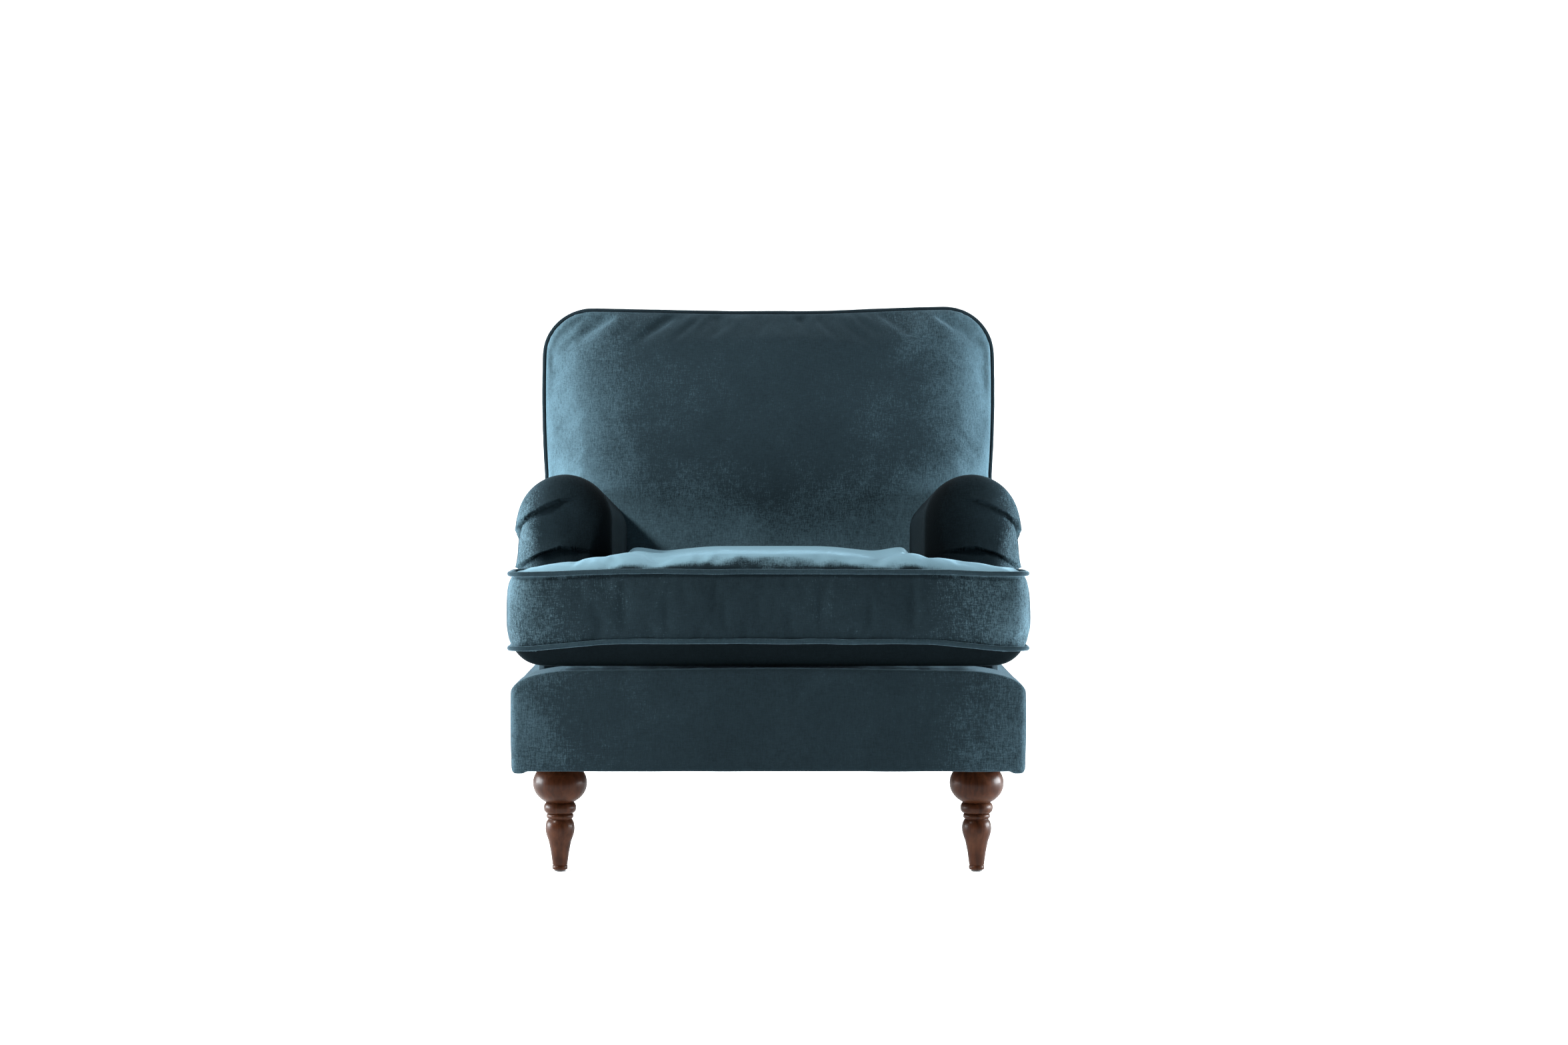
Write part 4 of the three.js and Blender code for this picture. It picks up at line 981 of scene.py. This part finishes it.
def build_zip_slider():
    low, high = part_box("zip_slider")
    cx, cz = (low[0] + high[0]) / 2, (low[2] + high[2]) / 2
    bm = bmesh.new()
    add_box(bm, (cx, low[1] + 0.0009, cz), (0.0110, 0.0016, 0.0125))
    add_box(bm, (cx, low[1] + 0.0030, cz + 0.0050), (0.0050, 0.0030, 0.0018))
    add_box(bm, (cx, low[1] + 0.0030, cz - 0.0040), (0.0050, 0.0030, 0.0018))
    add_box(bm, (cx, low[1] + 0.0049, cz + 0.0005), (0.0050, 0.0012, 0.0108))
    slider = from_bmesh("zip_slider_body", bm, NICKEL, 0.0004)
    finish_piece(slider, "zip_slider", "zip_metal", "zip_slider")

    low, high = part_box("zip_pull")
    cx, cy = (low[0] + high[0]) / 2, (low[1] + high[1]) / 2
    half, thick = (high[0] - low[0]) / 2, (high[1] - low[1]) / 2
    outline, hole = [], []
    top, bottom = high[2], low[2]
    for i in range(40):
        angle = 2 * math.pi * i / 40
        c, s = math.cos(angle), math.sin(angle)
        wide = half * (0.72 if s > 0 else 1.0)
        outline.append((wide * math.copysign(abs(c) ** 0.6, c),
                        (top + bottom) / 2 + (top - bottom) / 2 * math.copysign(abs(s) ** 0.6, s)))
        hole.append((half * 0.38 * c, bottom + (top - bottom) * 0.30 + half * 0.55 * s))
    vertices = []
    for y in (cy - thick, cy + thick):
        for ring in (outline, hole):
            vertices += [Vector((cx + x, y, z)) for x, z in ring]
    faces = []
    for i in range(40):
        j = (i + 1) % 40
        faces += [(i, j, 40 + j, 40 + i), (80 + i, 120 + i, 120 + j, 80 + j),
                  (i, 80 + i, 80 + j, j), (40 + i, 40 + j, 120 + j, 120 + i)]
    pull = new_object("zip_pull_tab", mesh_from("zip_pull_tab", vertices, faces), NICKEL)
    for face in pull.data.polygons:
        face.use_smooth = False
    finish_piece(pull, "zip_pull", "zip_metal", "zip_pull")


# ---- The arms ----------------------------------------------------------------------------
ROLL_RADIUS = (ARM_BOX[1][0] - ARM_BOX[0][0]) / 2
ARM_AXIS_X = (ARM_BOX[0][0] + ARM_BOX[1][0]) / 2
ARM_FRONT = ARM_BOX[0][1]
ARM_FOOT = ARM_BOX[0][2]
ARM_PANEL_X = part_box("side_border_right")[0][0] - 0.0003
ARM_TOP_Z = ARM_BOX[1][2] + 0.0050
ROLL_Z = ARM_TOP_Z - ROLL_RADIUS
ROLL_SKIRT = 0.068
ARM_FALL = 0.050 / 0.555         # how far the arm falls for each metre towards the back
ARM_DOME = 0.034                 # depth of the rounding of the arm's front end
ARM_ROUND = 0.056                # how far in from the edge the rounding starts
# The pleats on the front of an arm: across from the inner side, and up from the roll's axis
PLEATS = (
    [(0.152, -0.026), (0.145, -0.006), (0.128, 0.010), (0.103, 0.024), (0.080, 0.032), (0.050, 0.034)],
    [(0.150, -0.078), (0.138, -0.068), (0.112, -0.053), (0.080, -0.044), (0.046, -0.048), (0.012, -0.056)],
)


def arm_section(count):
    """Points round the arm's section, from the inner foot over the roll to the outer foot."""
    tuck = ARM_BOX[1][0] - ARM_PANEL_X
    skirt = ROLL_Z - ROLL_SKIRT
    points = [Vector((ARM_BOX[0][0], ARM_FOOT))]
    points += arc((ARM_AXIS_X, ROLL_Z), ROLL_RADIUS, 180, 0, 48)
    fillet = 0.005
    a = Vector((ARM_BOX[1][0], skirt))
    b = Vector((ARM_BOX[1][0], skirt - tuck))
    c = Vector((ARM_PANEL_X + fillet, skirt - tuck))
    for i in range(13):
        t = i / 12
        points.append(a * (1 - t) ** 2 + b * (2 * t * (1 - t)) + c * t * t)
    points += arc((ARM_PANEL_X + fillet, skirt - tuck - fillet), fillet, 90, 180, 5)
    points.append(Vector((ARM_PANEL_X, ARM_FOOT)))
    points.append(Vector((ARM_BOX[0][0], ARM_FOOT)))
    return even(points, count + 1)[:-1]


def pleat_offset(across, up):
    """Height of the folded cloth on the arm's front: each pleat laps down over the next."""
    height = 0.0
    for pleat, size in zip(PLEATS, (1.0, 0.8)):
        best, share, above = 1.0, 0.0, True
        for k, (a, b) in enumerate(zip(pleat, pleat[1:])):
            ax, ay = b[0] - a[0], b[1] - a[1]
            px, py = across - a[0], up - a[1]
            t = min(max((px * ax + py * ay) / (ax * ax + ay * ay), 0), 1)
            gx, gy = px - ax * t, py - ay * t
            gap = math.hypot(gx, gy)
            if gap < best:
                best, share = gap, (k + t) / (len(pleat) - 1)
                above = ax * gy - ay * gx < 0
        strength = (1 - smoothstep(0.60, 1.0, share)) * size
        if above:
            height += 0.0115 * strength * math.exp(-best / 0.012) * smoothstep(-0.0006, 0.0018, best)
        else:
            height -= 0.0042 * strength * math.exp(-best / 0.0050)
    return height


def pleat_wrap(p, behind):
    """The pleats carry on a little way round onto the outer side of the roll."""
    height = 0.0
    if p.x <= ARM_AXIS_X or behind > 0.16:
        return height
    for pleat, size in zip(PLEATS, (1.0, 0.8)):
        gap = p.y - (ROLL_Z + pleat[0][1] - 0.25 * behind)
        fade = math.exp(-behind / 0.030) * size * smoothstep(0.0, 0.03, p.x - ARM_AXIS_X - 0.03)
        if gap > 0:
            height += 0.0060 * fade * math.exp(-gap / 0.013) * smoothstep(-0.0006, 0.0018, gap)
        else:
            height -= 0.0025 * fade * math.exp(gap / 0.0055)
    return height


def build_arm(name, side):
    section = arm_section(380)
    centre = Vector((ARM_AXIS_X - 0.004, ROLL_Z - 0.088))
    cap_rows, body_rows = 84, 110
    rear = from_back(0, 0, 0.002)
    vertices = []
    start = ARM_FRONT + 0.0075 + ARM_DOME

    def place(p, y):
        rise = (p.y - ARM_FOOT) / (ARM_TOP_Z - ARM_FOOT)
        vertices.append(Vector((side * p.x, y, p.y - ARM_FALL * (y - ARM_FRONT) * rise)))

    for row in range(1, cap_rows + 1):
        share = math.sin(math.pi / 2 * row / cap_rows)
        for p in section:
            q = centre.lerp(p, share)
            edge = (p - centre).length * (1 - share)
            depth = ARM_DOME * (1 - math.sqrt(max(1 - max(1 - edge / ARM_ROUND, 0) ** 2, 0)))
            fold = pleat_offset(q.x - ARM_BOX[0][0], q.y - ROLL_Z)
            rumple = 0.0009 * wander((q.x * side, 0, q.y), 32)
            outward = max(1 - edge / ARM_ROUND, 0) ** 2
            lean = (q - centre).normalized() * (fold * outward * 0.7)
            place(q + lean, ARM_FRONT + 0.0075 + depth - fold * (1 - 0.6 * outward) - rumple)
    for row in range(1, body_rows + 1):
        share = (row / body_rows) ** 1.5
        for p in section:
            fallen = p.y - ARM_FALL * 0.5 * (p.y - ARM_FOOT) / (ARM_TOP_Z - ARM_FOOT)
            end = rear.y + (fallen - rear.z) / math.cos(RECLINE) * math.sin(RECLINE)
            y = start + (end - start) * share
            drag = 0.0012 * wander((p.x * side * 2.0, y, p.y * 2.0), 16) * smoothstep(0, 0.03, y - start)
            seam = -0.0013 * math.exp(-((y - start - 0.010) / 0.0022) ** 2)
            arm_out = (p - centre).normalized()
            place(p + arm_out * (drag + seam + 0.7 * pleat_wrap(p, y - start)), y)
    columns = len(section)
    faces = grid_faces(cap_rows + body_rows, columns, False, True)
    faces.append(tuple(range(columns)))
    last = (cap_rows + body_rows - 1) * columns
    faces.append(tuple(range(last, last + columns)))
    obj = new_object(name, mesh_from(name, vertices, faces), ARM_VELVET)
    finish_piece(obj, "chair", "velvet", f"arm_pad_{'right' if side > 0 else 'left'}")


# ---- The base ----------------------------------------------------------------------------
def padded_copy(name, node, voxel, rounds, material, change):
    """A soft, rounded version of a CAD solid, in the same place."""
    obj = new_object(name, frame["nodes"][node].data.copy(), material)
    remesh(obj, voxel)
    smooth(obj, 0.5, rounds)
    for vertex in obj.data.vertices:
        vertex.co = change(vertex.co)
    return obj


def rounded(a, b, radius):
    """Draws a place near a square corner in to a round one. a and b are how far it lies
    beyond the two lines where the rounding starts."""
    if a <= 0 or b <= 0:
        return 1.0
    return min(radius / max(math.hypot(a, b), 1e-9), 1.0)


def build_base_front():
    low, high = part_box("front_border")
    corner, edge = 0.013, 0.006

    def change(co):
        co = co.copy()
        side = 1 if co.x > 0 else -1
        a, b = abs(co.x) - (high[0] - corner), (low[1] + corner) - co.y
        k = rounded(a, b, corner)
        if k < 1:
            co.x = side * (high[0] - corner + a * k)
            co.y = low[1] + corner - b * k
        a, b = (low[1] + edge) - co.y, (low[2] + edge) - co.z
        k = rounded(a, b, edge)
        if k < 1:
            co.y, co.z = low[1] + edge - a * k, low[2] + edge - b * k
        a, b = abs(co.x) - (high[0] - 0.010), (low[2] + 0.010) - co.z
        k = rounded(a, b, 0.010)
        if k < 1:
            co.x, co.z = side * (high[0] - 0.010 + a * k), low[2] + 0.010 - b * k
        up = (co.z - low[2]) / (high[2] - low[2])
        front = 1 - smoothstep(low[1] + 0.004, low[1] + 0.020, co.y)
        swell = 0.0024 * math.sin(math.pi * min(max(up, 0), 1)) + 0.0008 * wander(co, 9)
        co.y -= swell * front
        co.x += side * 0.0018 * math.sin(math.pi * min(max(up, 0), 1)) * smoothstep(0.37, 0.40, abs(co.x))
        turned = smoothstep(0.374, 0.384, abs(co.x)) * (1 - smoothstep(0.0, 0.03, co.z - low[2]))
        co.z -= 0.0034 * turned * (1 - 0.45 * smoothstep(low[1] + 0.02, low[1] + 0.05, co.y))
        co.z += 0.0007 * wander(co, 14, 3) * front
        return co

    obj = padded_copy("base_front", "front_border", 0.0022, 6, BASE_VELVET, change)
    finish_piece(obj, "chair", "velvet", "front_border")


def build_base_sides():
    for name in ("left", "right"):
        side = -1 if name == "left" else 1

        def change(co, side=side):
            return co + Vector((side * 0.0009 * wander(co, 8), 0, 0))

        obj = padded_copy(f"base_side_{name}", f"side_border_{name}", 0.0018, 2, BASE_VELVET, change)
        finish_piece(obj, "chair", "velvet", f"side_border_{name}")
    obj = padded_copy("base_rear", "rear_border", 0.0018, 2, BASE_VELVET,
                      lambda co: co + Vector((0, 0.0007 * wander(co, 8), 0)))
    finish_piece(obj, "chair", "velvet", "rear_border")


def build_side_seams():
    """The stitched ridge down each side, where the front border's cover meets the side's."""
    low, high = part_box("side_border_right")
    widening, set_back = 3.2, 0.0036
    for name, side in (("left", -1), ("right", 1)):
        points = []
        for i in range(60):
            z = low[2] + 0.001 + (high[2] - 0.024 - low[2]) * i / 59
            x = high[0] - 0.0012 + 0.0002 * wander((0, side, z), 120)
            points.append(Vector((side * x, low[1] + 0.0004 * wander((0, 0, z), 40), z)))
        obj = tube(f"side_seam_{name}", points, 0.0018, BASE_VELVET, False, 10)
        for vertex in obj.data.vertices:
            vertex.co.y = low[1] + widening * (vertex.co.y - low[1]) - set_back
        finish_piece(obj, "chair", "velvet")


def build_deck():
    low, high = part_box("seat_deck")

    def change(co):
        inside = min(high[0] - abs(co.x), co.y - low[1], high[1] - co.y)
        dish = -0.0012 * smoothstep(0.0, 0.08, inside) + 0.0008 * wander(co, 10)
        seam = -0.0016 * math.exp(-((co.y - low[1] - 0.07) / 0.003) ** 2)
        up = smoothstep(high[2] - 0.006, high[2] - 0.001, co.z)
        return co + Vector((0, 0, (dish + seam) * up))

    obj = padded_copy("deck_cover", "seat_deck", 0.0030, 2, DECK_CLOTH, change)
    finish_piece(obj, "chair", "deck_cloth", "seat_deck")


# ---- Under the chair ---------------------------------------------------------------------
def build_dust_cloth():
    """The non-woven cloth stapled under the frame, cut away round the legs."""
    low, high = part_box("dust_cover")
    width, length = high[0] - low[0], high[1] - low[1]
    columns, rows = 157, 148
    legs = []
    for node in ("front_left_leg", "front_right_leg", "rear_left_leg", "rear_right_leg"):
        a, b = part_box(node)
        if node.startswith("front"):
            legs.append(((a[0] + b[0]) / 2, (a[1] + b[1]) / 2, 0.036))
        else:
            legs.append((math.copysign(abs(b[0] + a[0]) / 2 - 0.009, a[0]), a[1] + 0.024, 0.043))
    vertices = []
    for j in range(rows):
        for i in range(columns):
            x, y = low[0] + width * i / (columns - 1), low[1] + length * j / (rows - 1)
            edge = min(high[0] - abs(x), y - low[1], high[1] - y)
            sag = 0.0012 * smoothstep(0.03, 0.20, edge) + 0.0003 * wander((x, y, 0), 18)
            vertices.append(Vector((x, y, low[2] + 0.0003 - max(sag, 0) * 0.3)))
    faces = []
    for face in grid_faces(rows, columns):
        middle = sum((vertices[k] for k in face), Vector()) / 4
        if all(math.hypot(middle.x - x, middle.y - y) > r for x, y, r in legs):
            faces.append(face)
    obj = new_object("dust_cloth", mesh_from("dust_cloth", vertices, faces), DUST_CLOTH)
    bm = bmesh.new()
    bm.from_mesh(obj.data)
    loose = [v for v in bm.verts if not v.link_faces]
    bmesh.ops.delete(bm, geom=loose, context="VERTS")
    bm.to_mesh(obj.data)
    bm.free()
    solid = obj.modifiers.new("thickness", "SOLIDIFY")
    solid.thickness = 0.0005
    apply_modifiers(obj)

    bm = bmesh.new()
    z = low[2] - 0.0002
    inset, corner = 0.008, 0.05
    sides = (low[0] + inset, high[0] - inset)
    ends = (low[1] + inset, high[1] - inset)
    places = [(low[0] + corner + i * 0.0567, y, True) for i in range(13) for y in ends]
    places += [(x, low[1] + corner + i * 0.0575, False) for i in range(12) for x in sides]
    for x, y, along in places:
        if all(math.hypot(x - a, y - b) > r + 0.008 for a, b, r in legs):
            add_box(bm, (x, y, z), (0.011, 0.0011, 0.0007) if along else (0.0011, 0.011, 0.0007))
    staples = from_bmesh("dust_cloth_staples", bm, NICKEL, 0.0003)
    finish_piece(staples, "chair", "spring_steel")
    finish_piece(obj, "chair", "dust_cloth", "dust_cover")


# ---- Legs --------------------------------------------------------------------------------
def leg_profile(top):
    """Radius and height up a turned front leg: foot, taper, vase, two rings and a bulb."""
    profile = [(0.0, 0.0028), (0.0108, 0.0028), (0.0119, 0.0036), (0.0122, 0.0050), (0.0122, 0.0084),
               (0.0117, 0.0090), (0.0109, 0.0094), (0.0109, 0.0099), (0.0117, 0.0104)]
    profile += [(0.0119, 0.011), (0.0129, 0.019), (0.0144, 0.030), (0.0162, 0.039), (0.0180, 0.0478),
                (0.0199, 0.053), (0.0216, 0.058), (0.0228, 0.0630), (0.0231, 0.068), (0.0228, 0.0725),
                (0.0219, 0.0765), (0.0204, 0.0798), (0.0186, 0.0822), (0.0181, 0.0829)]
    for rise, half, neck, radius in ((0.0872, 0.0043, 0.0182, 0.0213), (0.1003, 0.0086, 0.0197, 0.0257)):
        for i in range(11):
            angle = math.pi * (i / 10 - 0.5)
            profile.append((neck + (radius - neck) * math.cos(angle), rise + half * math.sin(angle)))
    bulb_rise, bulb_height, bulb_radius = 0.139, 0.035, 0.0428
    start = math.asin((0.1091 - bulb_rise) / bulb_height)
    end = math.asin((top - bulb_rise) / bulb_height)
    for i in range(25):
        angle = start + (end - start) * i / 24
        profile.append((bulb_radius * math.cos(angle), bulb_rise + bulb_height * math.sin(angle)))
    profile.append((0.0, top))
    return profile


def build_front_leg(name, node):
    low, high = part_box(node)
    cx, cy = (low[0] + high[0]) / 2, (low[1] + high[1]) / 2
    profile = leg_profile(high[2])
    sides = 72
    vertices = [Vector((cx, cy, profile[0][1]))]
    for radius, z in profile[1:-1]:
        for j in range(sides):
            angle = 2 * math.pi * j / sides
            vertices.append(Vector((cx + radius * math.cos(angle), cy + radius * math.sin(angle), z)))
    vertices.append(Vector((cx, cy, profile[-1][1])))
    rings = len(profile) - 2
    faces = [tuple(k + 1 for k in f) for f in grid_faces(rings, sides, False, True)]
    for j in range(sides):
        faces.append((0, 1 + (j + 1) % sides, 1 + j))
        last = 1 + (rings - 1) * sides
        faces.append((len(vertices) - 1, last + j, last + (j + 1) % sides))
    obj = new_object(name, mesh_from(name, vertices, faces), WALNUT)
    finish_piece(obj, "chair", "leg_wood", node)


def build_rear_leg(name, node):
    obj = new_object(name, frame["nodes"][node].data.copy(), WALNUT)
    bm = bmesh.new()
    bm.from_mesh(obj.data)
    bmesh.ops.remove_doubles(bm, verts=bm.verts, dist=1e-5)
    hull = bmesh.ops.convex_hull(bm, input=bm.verts)
    inner = [v for v in hull["geom_interior"] if isinstance(v, bmesh.types.BMVert)]
    bmesh.ops.delete(bm, geom=inner, context="VERTS")
    bmesh.ops.dissolve_limit(bm, angle_limit=math.radians(3), verts=bm.verts, edges=bm.edges)
    edges = [e for e in bm.edges if len(e.link_faces) == 2 and e.calc_face_angle(0) > 0.5]
    bmesh.ops.bevel(bm, geom=edges, offset=0.0032, segments=4, affect="EDGES", profile=0.5)
    bm.to_mesh(obj.data)
    bm.free()
    for face in obj.data.polygons:
        face.use_smooth = False
    finish_piece(obj, "chair", "leg_wood", node)


def build_legs():
    for side in ("left", "right"):
        build_front_leg(f"turned_leg_{side}", f"front_{side}_leg")
        build_rear_leg(f"raked_leg_{side}", f"rear_{side}_leg")


# ---- Room and light ----------------------------------------------------------------------
def add_room():
    size, bend = 9.0, 1.6
    rows = [(-size, 0.0)]
    rows += [(2.6 + bend * math.sin(math.radians(a)), bend - bend * math.cos(math.radians(a)))
             for a in range(0, 91, 6)]
    rows.append((2.6 + bend, 5.0))
    vertices = [Vector((x, y, z)) for y, z in rows for x in (-size, size)]
    mesh = mesh_from("floor", vertices, grid_faces(len(rows), 2))
    n = Nodes("pale_floor")
    place = n.add("ShaderNodeTexCoord").outputs["Object"]
    tone = n.noise(place, 3, 2, 0.5)
    n.set(Base_Color=n.mix(tone, rgb(0.93, 0.93, 0.93), rgb(0.96, 0.96, 0.96)), Roughness=0.9)
    n.shader.inputs["Emission Color"].default_value = (1.0, 1.0, 1.0, 1.0)
    n.shader.inputs["Emission Strength"].default_value = 0.55
    obj = new_object("floor", mesh, n.material)


def add_light(name, place, aim, size, power, colour):
    data = bpy.data.lights.new(name, "AREA")
    data.shape = "RECTANGLE"
    data.size, data.size_y = size
    data.energy = power
    data.color = colour
    light = bpy.data.objects.new(name, data)
    light.location = place
    direction = Vector(aim) - Vector(place)
    light.rotation_euler = direction.to_track_quat("-Z", "Y").to_euler()
    bpy.context.scene.collection.objects.link(light)


def add_lights():
    cool = (0.90, 0.96, 1.0)
    add_light("left_bank", (-1.9, -0.15, 0.40), (0, -0.15, 0.45), (1.1, 0.56), 125, cool)
    add_light("right_bank", (1.9, -0.15, 0.40), (0, -0.15, 0.45), (1.1, 0.56), 150, cool)
    add_light("key", (-2.0, -1.3, 2.2), (0, 0.1, 0.6), (0.40, 0.40), 150, (1.0, 0.99, 0.97))
    add_light("top", (0, 0.75, 2.6), (0, 0, 0.4), (1.8, 0.9), 75, cool)
    world = bpy.data.worlds.new("world")
    bpy.context.scene.world = world
    world.use_nodes = True
    background = world.node_tree.nodes["Background"]
    background.inputs["Color"].default_value = (0.97, 0.98, 1.0, 1.0)
    background.inputs["Strength"].default_value = 0.14


# ---- Assembly ----------------------------------------------------------------------------
build_back_face()
build_back_boxing()
build_outer_panel()
build_back_piping()
build_cushion()
build_cushion_piping()
build_zip()
build_zip_slider()
build_arm("arm_left", -1)
build_arm("arm_right", 1)
build_base_front()
build_base_sides()
build_side_seams()
build_deck()
build_dust_cloth()
build_legs()
add_room()
add_lights()
bpy.context.scene.view_settings.view_transform = "Standard"
